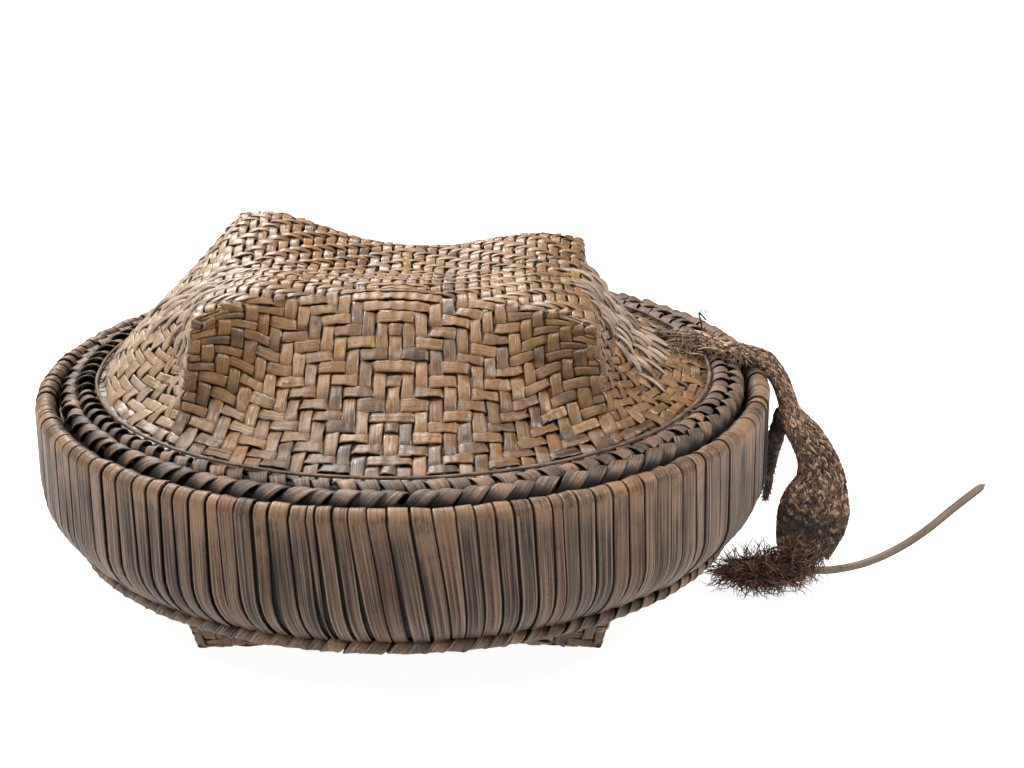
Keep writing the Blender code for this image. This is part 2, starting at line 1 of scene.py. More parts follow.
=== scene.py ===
"""The looks of a round lidded basket of plaited split cane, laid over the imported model."""
import math
import bpy
import numpy as np
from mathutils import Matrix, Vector


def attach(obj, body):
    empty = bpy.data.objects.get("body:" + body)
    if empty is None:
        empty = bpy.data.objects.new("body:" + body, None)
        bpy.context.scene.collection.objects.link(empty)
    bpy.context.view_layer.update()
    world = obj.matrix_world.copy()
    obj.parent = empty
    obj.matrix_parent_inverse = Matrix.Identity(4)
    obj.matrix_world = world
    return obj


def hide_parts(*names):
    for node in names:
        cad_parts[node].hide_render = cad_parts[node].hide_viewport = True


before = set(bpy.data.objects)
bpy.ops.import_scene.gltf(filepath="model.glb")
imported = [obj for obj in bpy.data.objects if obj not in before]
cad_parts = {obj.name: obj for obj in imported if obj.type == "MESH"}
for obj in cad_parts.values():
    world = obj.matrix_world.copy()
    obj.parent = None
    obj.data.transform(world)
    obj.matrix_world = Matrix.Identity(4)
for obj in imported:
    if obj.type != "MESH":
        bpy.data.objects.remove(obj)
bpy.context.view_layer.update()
bpy.ops.object.select_all(action='DESELECT')
chance = np.random.default_rng(11)

# Camera of the photograph
CAMERA_PLACE = (0.04484, -0.78005, 0.35867)
CAMERA_DIP = 0.3385
CAMERA_LENS = 68.77

# Hoop and rims
HOOP_RADIUS = 0.1525
HOOP_TOP = 0.090
HOOP_HEIGHT = 0.0575
HOOP_THICKNESS = 0.0085
HOOP_TUCK = 0.0115
BELLY_SHARE = 0.38
HOOP_CENTRE_RADIUS = HOOP_RADIUS - HOOP_THICKNESS / 2
BAND_TOP = HOOP_TOP - HOOP_THICKNESS / 2
BAND_RISE = HOOP_HEIGHT - HOOP_THICKNESS
LOWER_ROD = (0.13675, 0.03075, 0.0024)
INNER_ROD = (0.12635, 0.09375, 0.00105)
ROPE_BORDER = (0.1321, 0.0893, 0.0033, 0.0031)
BRAID_BORDER = (0.1382, 0.0858, 0.0026, 0.0031)
BRAID_CORE_RADIUS = 0.0017
ROPE_CORE_RADIUS = 0.0022

# Plaited sheets
PATCH_SHARE = 1 / 3
STAKES = 31
LID_ROWS = 16
BASE_ROWS = 10
WALL_ROWS = 9
LID_RIM_RADIUS = 0.1287
LID_FLANGE_RADIUS = 0.1240
LID_FLANGE_TOP = 0.0924
LID_CORNER = 0.110 / math.sqrt(2)
LID_REACHES = (0.044, 0.074, 0.063, 0.074)
LID_EDGE_RISES = (
    (.0460, .0501, .0483, .0476, .0478, .0465, .0461, .0473, .0437),
    (.0437, .0445, .0435, .0415, .0400, .0395, .0395, .0395, .0365),
    (.0365, .0405, .0397, .0367, .0369, .0391, .0447, .0499, .0487),
    (.0487, .0495, .0465, .0435, .0420, .0430, .0450, .0475, .0460),
)
SIDE_SHOULDERS = ((.19, .03), (.30, .32), (.19, .03), (.31, .10))
SIDE_HEELS = ((.54, .23), (.63, .15), (.54, .23), (.12, .35))
CORNER_SHOULDERS = ((.12, .30), (.12, .30), (.00, .36), (.45, .16))
CORNER_HEELS = ((.80, .12), (.80, .12), (.86, .05), (.19, .40))
FOOT_CORNER = 0.116 / math.sqrt(2)
FOOT_SIDE_REACH = 0.075
FOOT_HOLLOW = 0.006
FOOT_FLAT_SHARE = 0.5625
INNER_WALL_TOP = 0.0812
WALL_SHARE = 2 / 3

# Strap
STRAP_ROUTE = (
    (0.1146, 0.0240, 0.0990), (0.1230, 0.0200, 0.0982), (0.1330, 0.0160, 0.0956),
    (0.1435, 0.0125, 0.0936), (0.1527, 0.0090, 0.0914), (0.1583, 0.0052, 0.0850),
    (0.1612, 0.0013, 0.0780), (0.1630, -0.0012, 0.0720), (0.1660, -0.0032, 0.0668),
    (0.1700, -0.0054, 0.0615), (0.1740, -0.0080, 0.0540), (0.1757, -0.0110, 0.0452),
    (0.1740, -0.0140, 0.0368), (0.1722, -0.0160, 0.0290), (0.1705, -0.0178, 0.0228),
    (0.1688, -0.0193, 0.0157),
)
STRAP_HALF_WIDTHS = (.0009, .0036, .0048, .0048, .0048, .0048, .0048, .0052, .0066,
                     .0070, .0077, .0100, .0134, .0140, .0129, .0106)
STRAP_HALF_THICKNESSES = (.0006, .0021, .0026, .0026, .0026, .0026, .0026, .0028, .0033,
                          .0036, .0040, .0044, .0046, .0045, .0042, .0036)
STRAP_FACINGS = (
    (0, 0, 1), (0, 0, 1), (0, -.1, 1), (.1, -.2, 1), (.4, -.3, .8), (.8, -.4, .4),
    (.9, -.5, .1), (.85, -.6, .1), (.75, -.7, .1), (.55, -.85, .1), (.3, -.95, .1),
    (.1, -1, .1), (0, -1, .1), (0, -1, .1), (0, -1, .1), (0, -1, .2),
)
LEG_ROUTE = (
    (0.1604, 0.0024, 0.0706), (0.1588, 0.0040, 0.0617), (0.1578, 0.0070, 0.0537),
    (0.1573, 0.0100, 0.0456), (0.1573, 0.0140, 0.0369), (0.1573, 0.0180, 0.0282),
    (0.1572, 0.0220, 0.0217),
)
LEG_HALF_WIDTHS = (.0028, .0028, .0025, .0020, .0016, .0012, .0005)
TONGUE_ROUTE = (
    (0.1661, -0.0163, 0.0054), (0.1745, -0.0132, 0.0038), (0.1839, -0.0120, 0.0036),
    (0.1967, -0.0120, 0.0067), (0.2092, -0.0120, 0.0128), (0.2214, -0.0120, 0.0216),
    (0.2334, -0.0120, 0.0328), (0.2453, -0.0120, 0.0433),
)
TASSEL_CENTRE = (0.1515, -0.0242, 0.0098)
KNOT_PLACE_SHARES = (0.27, 0.765)
STRAND_SPREADS = (-.0040, -.0026, -.0014, -.0004, .0006, .0016, .0028, .0040, .0052, .0064)
STRAND_REACHES = (.0020, .0070, .0030, .0095, .0045, .0080, .0020, .0060, .0035, .0010)

# Cane strips
CANE_THICKNESS = 0.0010
CANE_LIFT = 0.00090
STRIP_SECTION = np.array([(-1, 0), (-.90, .74), (-.70, .97), (.70, .97), (.90, .74), (1, 0),
                          (.8, -.85), (-.8, -.85)])
FLAT_SECTION = np.array([(-1, .1), (-.95, .80), (-.84, .98), (-.70, 1), (.70, 1), (.84, .98),
                         (.95, .80), (1, .1), (.85, -.85), (-.85, -.85)])
ROUND_SECTION = np.array([(-1, -.9), (-.86, 0), (-.52, .74), (-.16, 1), (.16, 1), (.52, .74),
                          (.86, 0), (1, -.9)])
LEAF_SECTION = np.array([(-1, 0), (-.80, .75), (-.25, 1), (.25, 1), (.80, .75), (1, 0),
                         (.8, -.85), (-.8, -.85)])
STEP_SHARES = (0, .3, .5, .7)


def linear(code):
    """A screen colour code as a light value."""
    parts = [int(code[i:i + 2], 16) / 255 for i in (1, 3, 5)]
    return tuple(c / 12.92 if c <= .04045 else ((c + .055) / 1.055) ** 2.4 for c in parts) + (1,)


def along_route(route, steps):
    """Even places on the smooth curve through a route's points."""
    route = np.array(route, dtype=float)
    ends = np.vstack([2 * route[:1] - route[1:2], route, 2 * route[-1:] - route[-2:-1]])
    spots = np.linspace(0, len(route) - 1, steps)
    index = np.minimum(spots.astype(int), len(route) - 2)
    t = (spots - index)[:, None]
    z, a, b, c = (ends[index + k] for k in range(4))
    return a + (b - z) / 2 * t + (2 * z - 5 * a + 4 * b - c) / 2 * t ** 2 \
        + (3 * a - z - 3 * b + c) / 2 * t ** 3


def unit(vectors):
    """Vectors brought to length 1."""
    return vectors / np.maximum(np.linalg.norm(vectors, axis=-1, keepdims=True), 1e-12)


def strip_mesh(name, centres, facing, half_widths, thickness, closed, marks, section=None):
    """One mesh of many strips, each a closed body along its own line of centres."""
    section = STRIP_SECTION if section is None else section
    strips, stations, count = centres.shape[0], centres.shape[1], len(section)
    if closed:
        tangent = unit(np.roll(centres, -1, 1) - np.roll(centres, 1, 1))
    else:
        tangent = unit(np.gradient(centres, axis=1))
    across = unit(np.cross(tangent, facing))
    up = np.cross(across, tangent)
    half_widths = np.broadcast_to(half_widths, (strips, stations))
    thickness = np.broadcast_to(thickness, (strips, stations))
    points = (centres[:, :, None]
              + across[:, :, None] * (half_widths[..., None] * section[:, 0])[..., None]
              + up[:, :, None] * (thickness[..., None] / 2 * section[:, 1])[..., None])
    index = np.arange(strips * stations * count).reshape(strips, stations, count)
    start = index if closed else index[:, :-1]
    end = np.roll(index, -1, 1) if closed else index[:, 1:]
    quads = np.stack([start, np.roll(start, -1, 2), np.roll(end, -1, 2), end], -1)
    lengths = np.linalg.norm(np.roll(centres, -1, 1) - centres, axis=-1)
    run = np.concatenate([np.zeros((strips, 1)), np.cumsum(lengths, 1)], 1)
    low, high = run[:, :stations], run[:, 1:]
    if not closed:
        low, high = low[:, :-1], high[:, :-1]
    u = section[:, 0] * half_widths[..., None]
    u_start = u if closed else u[:, :-1]
    u_end = np.roll(u, -1, 1) if closed else u[:, 1:]
    offset = np.arange(strips)[:, None, None] * 0.0371
    across_uv = np.stack([u_start, np.roll(u_start, -1, 2), np.roll(u_end, -1, 2), u_end], -1)
    along_uv = np.stack([low, low, high, high], -1)[:, :, None] + np.zeros(quads.shape)
    uv = np.stack([across_uv + offset[..., None], along_uv], -1).reshape(-1, 2)
    loops, sizes = [quads.reshape(-1)], [np.full(quads.size // 4, 4)]
    if not closed:
        caps = np.concatenate([index[:, 0, ::-1], index[:, -1]])
        loops.append(caps.reshape(-1))
        sizes.append(np.full(len(caps), count))
        uv = np.concatenate([uv, np.zeros((caps.size, 2))])
    loops, sizes = np.concatenate(loops), np.concatenate(sizes)
    mesh = bpy.data.meshes.new(name)
    mesh.vertices.add(points.size // 3)
    mesh.vertices.foreach_set("co", points.reshape(-1))
    mesh.loops.add(len(loops))
    mesh.loops.foreach_set("vertex_index", loops.astype(np.int32))
    mesh.polygons.add(len(sizes))
    mesh.polygons.foreach_set("loop_start", (np.cumsum(sizes) - sizes).astype(np.int32))
    mesh.polygons.foreach_set("use_smooth", sizes == 4)
    mesh.update(calc_edges=True)
    mesh.uv_layers.new(name="strip").data.foreach_set("uv", uv.reshape(-1))
    edge = np.broadcast_to(abs(section[:, 0]), points.shape[:3])
    for label, values in dict(marks, edge=edge).items():
        values = np.asarray(values, dtype=float)
        if values.ndim == 1:
            values = values[:, None, None]
        elif values.ndim == 2:
            values = values[..., None]
        values = np.broadcast_to(values, points.shape[:3])
        layer = mesh.attributes.new(label, 'FLOAT', 'POINT')
        layer.data.foreach_set("value", values.reshape(-1).astype(np.float32))
    mesh.validate()
    piece = bpy.data.objects.new(name, mesh)
    bpy.context.scene.collection.objects.link(piece)
    return piece


def dress(piece, material, body, slot_name, *nodes):
    """Give a piece its material and the body it moves with, and hide the solids it stands for."""
    piece.data.materials.clear()
    piece.data.materials.append(material)
    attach(piece, body)
    if nodes:
        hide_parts(*nodes)
    return piece


# Materials

def add_node(material, kind, settings=(), **links):
    """Add one node with its settings, and join its inputs to what feeds them."""
    tree = material.node_tree
    new = tree.nodes.new(kind)
    for key, value in dict(settings).items():
        if isinstance(key, str) and hasattr(new, key):
            setattr(new, key, value)
        else:
            new.inputs[key].default_value = value
    for key, source in links.items():
        place = int(key[1:]) if key[0] == "n" and key[1:].isdigit() else key.replace("_", " ")
        tree.links.new(source, new.inputs[place])
    return new


def ramp(material, source, stops):
    """Turn a value into a colour by a row of stops."""
    new = add_node(material, 'ShaderNodeValToRGB', (), Fac=source)
    band = new.color_ramp
    while len(band.elements) < len(stops):
        band.elements.new(0.5)
    for element, (place, colour) in zip(band.elements, stops):
        element.position = place
        element.color = linear(colour) if isinstance(colour, str) else (colour,) * 3 + (1,)
    return new.outputs["Color"]


def maths(material, operation, first, second):
    """One sum of two values."""
    new = add_node(material, 'ShaderNodeMath', {"operation": operation})
    for place, value in enumerate((first, second)):
        if isinstance(value, (int, float)):
            new.inputs[place].default_value = value
        else:
            material.node_tree.links.new(value, new.inputs[place])
    return new.outputs[0]


def darkened(material, colour, shade):
    """Multiply a colour by another."""
    new = add_node(material, 'ShaderNodeMix',
                   {"data_type": 'RGBA', "blend_type": 'MULTIPLY', 0: 1.0}, n6=colour, n7=shade)
    return new.outputs[2]


def mark(material, name):
    """A number kept on the piece's points."""
    return add_node(material, 'ShaderNodeAttribute', {"attribute_name": name}).outputs["Fac"]


def noise(material, vector, scale, detail=3.0, roughness=.55):
    """Cloudy variation at a real size."""
    return add_node(material, 'ShaderNodeTexNoise',
                    {"Scale": scale, "Detail": detail, "Roughness": roughness},
                    Vector=vector).outputs["Fac"]


def new_material(name):
    """An empty material with its shader and output."""
    material = bpy.data.materials.new(name)
    material.use_nodes = True
    material.node_tree.nodes.clear()
    shader = add_node(material, 'ShaderNodeBsdfPrincipled')
    add_node(material, 'ShaderNodeOutputMaterial', (), Surface=shader.outputs[0])
    return material, shader


def lightened(material, colour, share, code):
    """Lay another colour over a colour by a share."""
    new = add_node(material, 'ShaderNodeMix', {"data_type": 'RGBA', 7: linear(code)},
                   n0=share, n6=colour)
    return new.outputs[2]


def cane_material(name, palette, pale, gap_shade, streak, gloss, worn_and_lit_colour=None, shine=.5, rim=0):
    """Split cane: streaks of fibre along each strip, tints that change from strip to strip,
    painted shade at the edges and where a strip dips under its neighbour."""
    material, shader = new_material(name)
    tree = material.node_tree
    coords = add_node(material, 'ShaderNodeTexCoord')
    tone, edge, rise = (mark(material, label) for label in ("tone", "edge", "rise"))
    clouds = noise(material, coords.outputs["Object"], 130, 3)
    patch = noise(material, coords.outputs["Object"], 22, 2)
    mixed = maths(material, 'ADD', maths(material, 'MULTIPLY', tone, .60),
                  maths(material, 'ADD', maths(material, 'MULTIPLY', clouds, .55),
                        maths(material, 'MULTIPLY', patch, .35)))
    mixed = maths(material, 'SUBTRACT', mixed, .25)
    colour = ramp(material, mixed, palette)
    strip = add_node(material, 'ShaderNodeUVMap', {"uv_map": "strip"}).outputs[0]
    stretched = add_node(material, 'ShaderNodeMapping', {"Scale": (2300, 16, 1)}, Vector=strip)
    fibres = noise(material, stretched.outputs[0], 1, 3, .6)
    broad = add_node(material, 'ShaderNodeMapping', {"Scale": (900, 18, 1)}, Vector=strip)
    bands = noise(material, broad.outputs[0], 1, 2)
    threads = ramp(material, fibres, [(.53, 0.0), (.66, streak)])
    colour = lightened(material, colour, threads, pale)
    colour = darkened(material, colour, ramp(material, fibres, [
        (.34, 1 - streak), (.47, 1 - .35 * streak), (.54, 1.0)]))
    colour = darkened(material, colour, ramp(material, bands, [
        (.32, 1 - .8 * streak), (.52, 1.0)]))
    specks = noise(material, coords.outputs["Object"], 700, 3, .7)
    colour = darkened(material, colour, ramp(material, specks, [
        (.33, .40), (.40, .85), (.52, 1.0)]))
    # Paler colour laid over the mark: painted light on lid faces turned to the lamps, and on the hoop's top
    # rubbed wear with painted highlight.
    if worn_and_lit_colour:
        wear_and_painted_light = maths(material, 'MULTIPLY', mark(material, "wear_and_painted_light"), ramp(
            material, maths(material, 'ADD', clouds, fibres), [(.82, .15), (1.0, 1.0)]))
        colour = lightened(material, colour, wear_and_painted_light, worn_and_lit_colour)
    # Pale line along the strip edges: the pale split edge of the cane, with painted highlight.
    if rim:
        pale_edges_and_highlights = maths(material, 'MULTIPLY', ramp(material, edge, [(.66, 0.0), (.80, rim), (.90, 0.0)]),
                     ramp(material, bands, [(.42, 0.0), (.58, 1.0)]))
        colour = lightened(material, colour, pale_edges_and_highlights, pale)
    # Painted shade: darker at the strip edges, where neighbours meet, and where a strip dips under its
    # neighbour.
    colour = darkened(material, colour, ramp(material, edge, [
        (.88, 1.0), (.96, .55), (1.0, gap_shade)]))
    colour = darkened(material, colour, ramp(material, rise, [
        (0.0, gap_shade), (.35, .40), (.72, 1.0)]))
    tree.links.new(colour, shader.inputs["Base Color"])
    rough = ramp(material, bands, [(.35, min(1, gloss + .22)), (.6, gloss)])
    tree.links.new(rough, shader.inputs["Roughness"])
    height = maths(material, 'ADD', maths(material, 'MULTIPLY', fibres, .7),
                   maths(material, 'MULTIPLY', clouds, .3))
    bump = add_node(material, 'ShaderNodeBump', {"Strength": .8, "Distance": .00040},
                    Height=height)
    tree.links.new(bump.outputs[0], shader.inputs["Normal"])
    shader.inputs["Specular IOR Level"].default_value = shine
    return material


def fibre_material(name, palette, rough):
    """Twisted plant fibre: fine threads with pale and dark flecks, painted shade where the rise mark is low,
    and no shine.
    """
    material, shader = new_material(name)
    tree = material.node_tree
    coords = add_node(material, 'ShaderNodeTexCoord')
    strip = add_node(material, 'ShaderNodeUVMap', {"uv_map": "strip"}).outputs[0]
    stretched = add_node(material, 'ShaderNodeMapping', {"Scale": (3600, 300, 1)}, Vector=strip)
    threads = noise(material, stretched.outputs[0], 1, 4, .65)
    clouds = noise(material, coords.outputs["Object"], 240, 3)
    cloudy = maths(material, 'ADD', maths(material, 'MULTIPLY', threads, .8),
                   maths(material, 'MULTIPLY', clouds, .4))
    mixed = maths(material, 'ADD', maths(material, 'MULTIPLY', mark(material, "tone"), .8),
                  maths(material, 'SUBTRACT', cloudy, .48))
    colour = ramp(material, mixed, palette)
    # Painted shade: darker where the rise mark is low.
    colour = darkened(material, colour, ramp(material, mark(material, "rise"), [
        (0.0, .25), (.4, .55), (.8, 1.0)]))
    tree.links.new(colour, shader.inputs["Base Color"])
    shader.inputs["Roughness"].default_value = rough
    bump = add_node(material, 'ShaderNodeBump', {"Strength": .8, "Distance": .0005},
                    Height=threads)
    tree.links.new(bump.outputs[0], shader.inputs["Normal"])
    return material


PLAIT_PALETTE = [(.12, "#382719"), (.30, "#5c4025"), (.45, "#73522f"), (.60, "#835f37"),
                 (.74, "#7d5735"), (.86, "#664a35"), (.96, "#95734c")]
WRAP_PALETTE = [(.12, "#1c0d08"), (.30, "#2c1710"), (.48, "#382017"), (.66, "#45291d"),
                (.84, "#523221"), (.97, "#311b15")]
BORDER_PALETTE = [(.10, "#2e1e15"), (.32, "#443022"), (.52, "#583f2e"), (.72, "#6d503b"),
                  (.92, "#826348")]
ROPE_PALETTE = [(.10, "#342518"), (.32, "#4c3729"), (.52, "#624837"), (.72, "#7a5b44"),
                (.92, "#936f53")]
# Near-black cores: painted shade, for the shade that falls between the strips wound over them.
CORE_PALETTE = [(.10, "#1a120e"), (.50, "#261b15"), (.90, "#30251c")]

plait_cane = cane_material("plaited split cane, browned by handling", PLAIT_PALETTE, "#a98761",
                          .12, .32, .30, worn_and_lit_colour="#ab9780")
wrap_cane = cane_material("split cane wound tight round the hoop", WRAP_PALETTE, "#9c8265",
                          .14, .42, .42, worn_and_lit_colour="#86674a", shine=.30, rim=.5)
border_cane = cane_material("cane ends folded into the border, darkened", BORDER_PALETTE,
                            "#a08a6e", .10, .50, .50)
rope_cane = cane_material("cane looped over the inner border, dark", ROPE_PALETTE, "#98856b",
                          .10, .50, .52)
ring_cane = cane_material("bare bent cane of the hidden rings", BORDER_PALETTE, "#8a765c",
                          .5, .40, .60)
core_cane = cane_material("cane core painted dark for the shade of its winding", CORE_PALETTE, "#3a2d23",
                          .6, .3, .8)
# Slivers on the lid's ridges: a paler copy of the plait, painted light for the light that falls on the ridges.
sliver_cane = cane_material("narrow split cane, pale and drawn close", [
    (.15, "#6b5747"), (.45, "#8c7562"), (.85, "#ab9680")], "#c9b8a2", .10, .30, .42)
tongue_cane = cane_material("loose split of bare cane", [
    (.15, "#54443a"), (.45, "#70604f"), (.85, "#8b796a")], "#a5937f", .45, .40, .45)
strap_fibre = fibre_material("braided palm fibre, brown with straw flecks", [
    (.10, "#22140e"), (.32, "#452f24"), (.50, "#644a37"), (.68, "#83654c"), (.90, "#b3957a")], .80)
dark_fibre = fibre_material("frayed palm fibre, dark", [
    (.10, "#22130d"), (.40, "#4a2e23"), (.70, "#734a38"), (.95, "#a1745a")], .62)
dark_strand = fibre_material("narrow loose end of palm fibre, nearly black", [
    (.10, "#1a110c"), (.40, "#33241b"), (.70, "#4d382a"), (.95, "#7a6148")], .80)
straw_fibre = fibre_material("torn straw threads", [
    (.15, "#4a3626"), (.50, "#7d634b"), (.85, "#b39a7c")], .75)


# Camera and light

def add_camera():
    """The photograph's view."""
    bpy.ops.object.camera_add(location=CAMERA_PLACE,
                              rotation=(math.pi / 2 - CAMERA_DIP, 0, 0))
    camera = bpy.context.object
    camera.data.lens = CAMERA_LENS
    camera.data.sensor_width = 36
    camera.data.clip_start = .01
    bpy.context.scene.camera = camera


def add_lamp(name, place, aim, size, power, colour=(1, .96, .90)):
    """A soft studio lamp turned to a point."""
    bpy.ops.object.light_add(type='AREA', location=place)
    lamp = bpy.context.object
    lamp.name = name
    lamp.data.shape = 'DISK'
    lamp.data.size = size
    lamp.data.energy = power
    lamp.data.color = colour
    lamp.rotation_euler = (Vector(aim) - Vector(place)).to_track_quat('-Z', 'Y').to_euler()


def add_studio():
    """Pale floor, pale surroundings and soft lamps."""
    world = bpy.data.worlds.new("pale studio")
    bpy.context.scene.world = world
    world.use_nodes = True
    back = world.node_tree.nodes["Background"]
    back.inputs["Color"].default_value = (1, .96, .92, 1)
    back.inputs["Strength"].default_value = .20
    bpy.ops.mesh.primitive_plane_add(size=24, location=(0, 0, -.0004))
    floor = bpy.context.object
    floor.name = "studio_floor"
    pale, shader = new_material("matt pale studio floor")
    shader.inputs["Base Color"].default_value = (.45, .45, .45, 1)
    shader.inputs["Roughness"].default_value = .9
    shader.inputs["Emission Color"].default_value = (1, 1, 1, 1)
    shader.inputs["Emission Strength"].default_value = .93
    floor.data.materials.append(pale)
    add_lamp("soft lamp behind", (-.45, 1.05, 1.00), (0, 0, .09), .30, 19,
             (.94, .97, 1.0))
    add_lamp("soft lamp above", (-.30, .30, 1.50), (0, 0, .08), .35, 15.5,
             (.97, .97, .97))
    add_lamp("soft lamp on the left", (-1.10, -.10, 1.15), (0, 0, .07), .30, 18)
    add_lamp("soft lamp on the right", (1.10, -.15, 1.10), (0, 0, .07), .30, 22,
             (1, .97, .95))
    add_lamp("soft lamp over the camera", (-.3, -1.4, 1.5), (0, 0, .06), .30, 10)
    bpy.context.scene.view_settings.view_transform = 'Standard'


add_camera()
add_studio()


# Strap frame

def route_frame(route, facings, widths, thicknesses, steps):
    """Centres, side and face directions, and half sizes along a route."""
    centres = along_route(route, steps)
    tangent = unit(np.gradient(centres, axis=0))
    face = unit(along_route(facings, steps))
    side = unit(np.cross(tangent, face))
    face = np.cross(side, tangent)
    sizes = along_route(np.stack([widths, thicknesses], 1), steps)
    return centres, side, face, sizes


def tube(name, shape, scale, sides, material, body):
    """A closed oval tube along a route."""
    centres, side, face, sizes = shape
    turn = np.arange(sides) / sides * 2 * math.pi
    section = np.stack([-np.cos(turn), np.sin(turn)], 1)
    # Rise kept low: the core is laid in painted shade, as seen between the strands over it.
    marks = {"tone": np.full((1, len(centres)), .3), "rise": np.full((1, len(centres)), .2)}
    piece = strip_mesh(name, centres[None], face[None], sizes[None, :, 0] * scale,
                       sizes[None, :, 1] * 2 * scale, False, marks, section)
    return dress(piece, material, body, "braided_fibre")


def dark_end(share):
    """A strap's darkening towards its lower end, as a share that is left of its tint."""
    return 1 - .85 * np.exp(-((share - .90) / .06) ** 2)


def sleeve(name, shape, strands, turns, lift, material, body):
    """A sleeve of strands that cross over and under round an oval core."""
    centres, side, face, sizes = shape
    stations = len(centres)
    share = np.linspace(0, 1, stations)
    lines, outs, tones, rises = [], [], [], []
    for way in (1, -1):
        for k in range(strands):
            turn = 2 * math.pi * (k / strands + way * turns * share)
            crossing = share * turns * 2 * strands + k * way
            over = np.clip(np.sin(math.pi * crossing / 2 + (0 if way > 0 else math.pi)) * 1.6, -1, 1)
            grow = 1 + lift * over / np.maximum(sizes[:, 1], .001)
            out = side * (np.cos(turn) * sizes[:, 0] * grow)[:, None] \
                + face * (np.sin(turn) * sizes[:, 1] * grow)[:, None]
            lines.append(centres + out)
            outs.append(unit(side * (np.cos(turn) * sizes[:, 1])[:, None]
                             + face * (np.sin(turn) * sizes[:, 0])[:, None]))
            tones.append(chance.random())
            rises.append(.5 + .5 * over)
    widths = (sizes[:, 0] + sizes[:, 1]) * 1.62 / strands * .78
    # Rise: painted shade where a strand dips under the strands of the other way, with more darkening near the
    # lower end.
    marks = {"tone": np.array(tones), "rise": np.array(rises) * .75 * dark_end(share)}
    piece = strip_mesh(name, np.array(lines), np.array(outs), widths[None], widths[None] * 1.1,
                       False, marks, LEAF_SECTION)
    return dress(piece, material, body, "braided_fibre")


def hairs(name, starts, middles, ends, radius, material, body, slot_name, tones=None, taper=2,
          rise=1.0):
    """Fine loose fibres, each bent once on its way to its tip."""
    t = np.linspace(0, 1, 6)[None, :, None]
    starts, middles, ends = (np.asarray(p)[:, None] for p in (starts, middles, ends))
    centres = starts * (1 - t) ** 2 + middles * 2 * t * (1 - t) + ends * t ** 2
    count = len(centres)
    facing = unit(chance.normal(size=(count, 1, 3)) * .3 + (0, 0, 1)) + np.zeros(centres.shape)
    reach = np.linspace(0, 1, 6)
    thin = radius * (1 - .8 * (reach ** 2 if taper == 2 else (2 * reach - 1) ** 2))
    marks = {"tone": chance.random(count) if tones is None else tones,
             "rise": np.ones(count) * rise}
    section = np.array([(-1, -.6), (0, 1), (1, -.6)])
    piece = strip_mesh(name, centres, facing, thin[None], thin[None] * 2, False, marks, section)
    return dress(piece, material, body, slot_name)


STRAP_STEPS = 131
strap_shape = route_frame(STRAP_ROUTE, STRAP_FACINGS, STRAP_HALF_WIDTHS,
                          STRAP_HALF_THICKNESSES, STRAP_STEPS)
leg_shape = route_frame(LEG_ROUTE, [(0, -1, .2)] * 7, LEG_HALF_WIDTHS, LEG_HALF_WIDTHS, 60)
core_sizes = np.stack([np.clip(strap_shape[3][:, 0] * .8, .0019, .0083),
                       np.maximum(strap_shape[3][:, 1] * .92, .0016)], 1)
strap_core = tube("strap_core", strap_shape[:3] + (core_sizes,), 1, 14, dark_fibre, "lid")
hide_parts("strap_band", "strap_tail")
strap_braid = sleeve("strap_braid", strap_shape, 24, 3.4, .00030, strap_fibre, "lid")
leg_core = tube("strap_leg_core", leg_shape, .85, 10, dark_strand, "lid")
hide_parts("strap_leg")
leg_braid = sleeve("strap_leg_braid", leg_shape, 5, 3.0, .00025, dark_strand, "lid")


def surface_hairs(name, shape, count, reach, radius, material, first=0.0, last=1.0):
    """Short fibres that stand out of a braid all round."""
    centres, side, face, sizes = shape
    spot = (chance.uniform(first, last, count) * (len(centres) - 1)).astype(int)
    turn = chance.uniform(0, 2 * math.pi, count)
    out = side[spot] * (np.cos(turn) * sizes[spot, 0])[:, None] \
        + face[spot] * (np.sin(turn) * sizes[spot, 1])[:, None]
    start = centres[spot] + out * .9
    away = unit(out)
    down = unit(np.gradient(centres, axis=0))[spot]
    length = reach * chance.uniform(.3, 1, count)[:, None]
    middle = start + away * length * .45 + down * length * .25
    end = start + away * length * .6 + (down * .7 + chance.normal(size=(count, 3)) * .35) * length
    end[:, 2] = np.maximum(end[:, 2], .0006)
    return hairs(name, start, middle, end, radius, material, "lid", "braided_fibre")


def stitches(name, shape, count, length, radius, material):
    """Short slanted stitches laid close together over a braid."""
    centres, side, face, sizes = shape
    weights = sizes[:, 0] + sizes[:, 1]
    weights = weights * (.35 + .65 * dark_end(np.linspace(0, 1, len(centres))))
    spot = chance.choice(len(centres), count, p=weights / weights.sum())
    turn = chance.uniform(0, 2 * math.pi, count)
    out = side[spot] * (np.cos(turn) * sizes[spot, 0])[:, None] \
        + face[spot] * (np.sin(turn) * sizes[spot, 1])[:, None]
    down = unit(np.gradient(centres, axis=0))[spot]
    around = unit(np.cross(unit(out), down))
    slant = (np.where(chance.random(count) < .5, 1, -1) * chance.uniform(.25, .65, count))[:, None]
    way = unit(down + around * slant) * length * chance.uniform(.7, 1.2, count)[:, None] / 2
    middle = centres[spot] + out + unit(out) * radius * 2.4
    end = middle + way - unit(out) * radius * 2.4
    start = middle - way - unit(out) * radius * 2.4
    dark = dark_end(spot / (len(centres) - 1))
    return hairs(name, start, middle + unit(out) * radius, end, radius, material, "lid",
                 "braided_fibre", chance.random(count) * dark, 1, .25 + .75 * dark)


strap_stitches = stitches("strap_stitches", strap_shape, 4300, .0040, .00045, strap_fibre)
strap_fuzz = surface_hairs("strap_fuzz", strap_shape, 1300, .0030, .00011, strap_fibre)
leg_fuzz = surface_hairs("strap_leg_fuzz", leg_shape, 900, .0032, .00012, dark_strand)


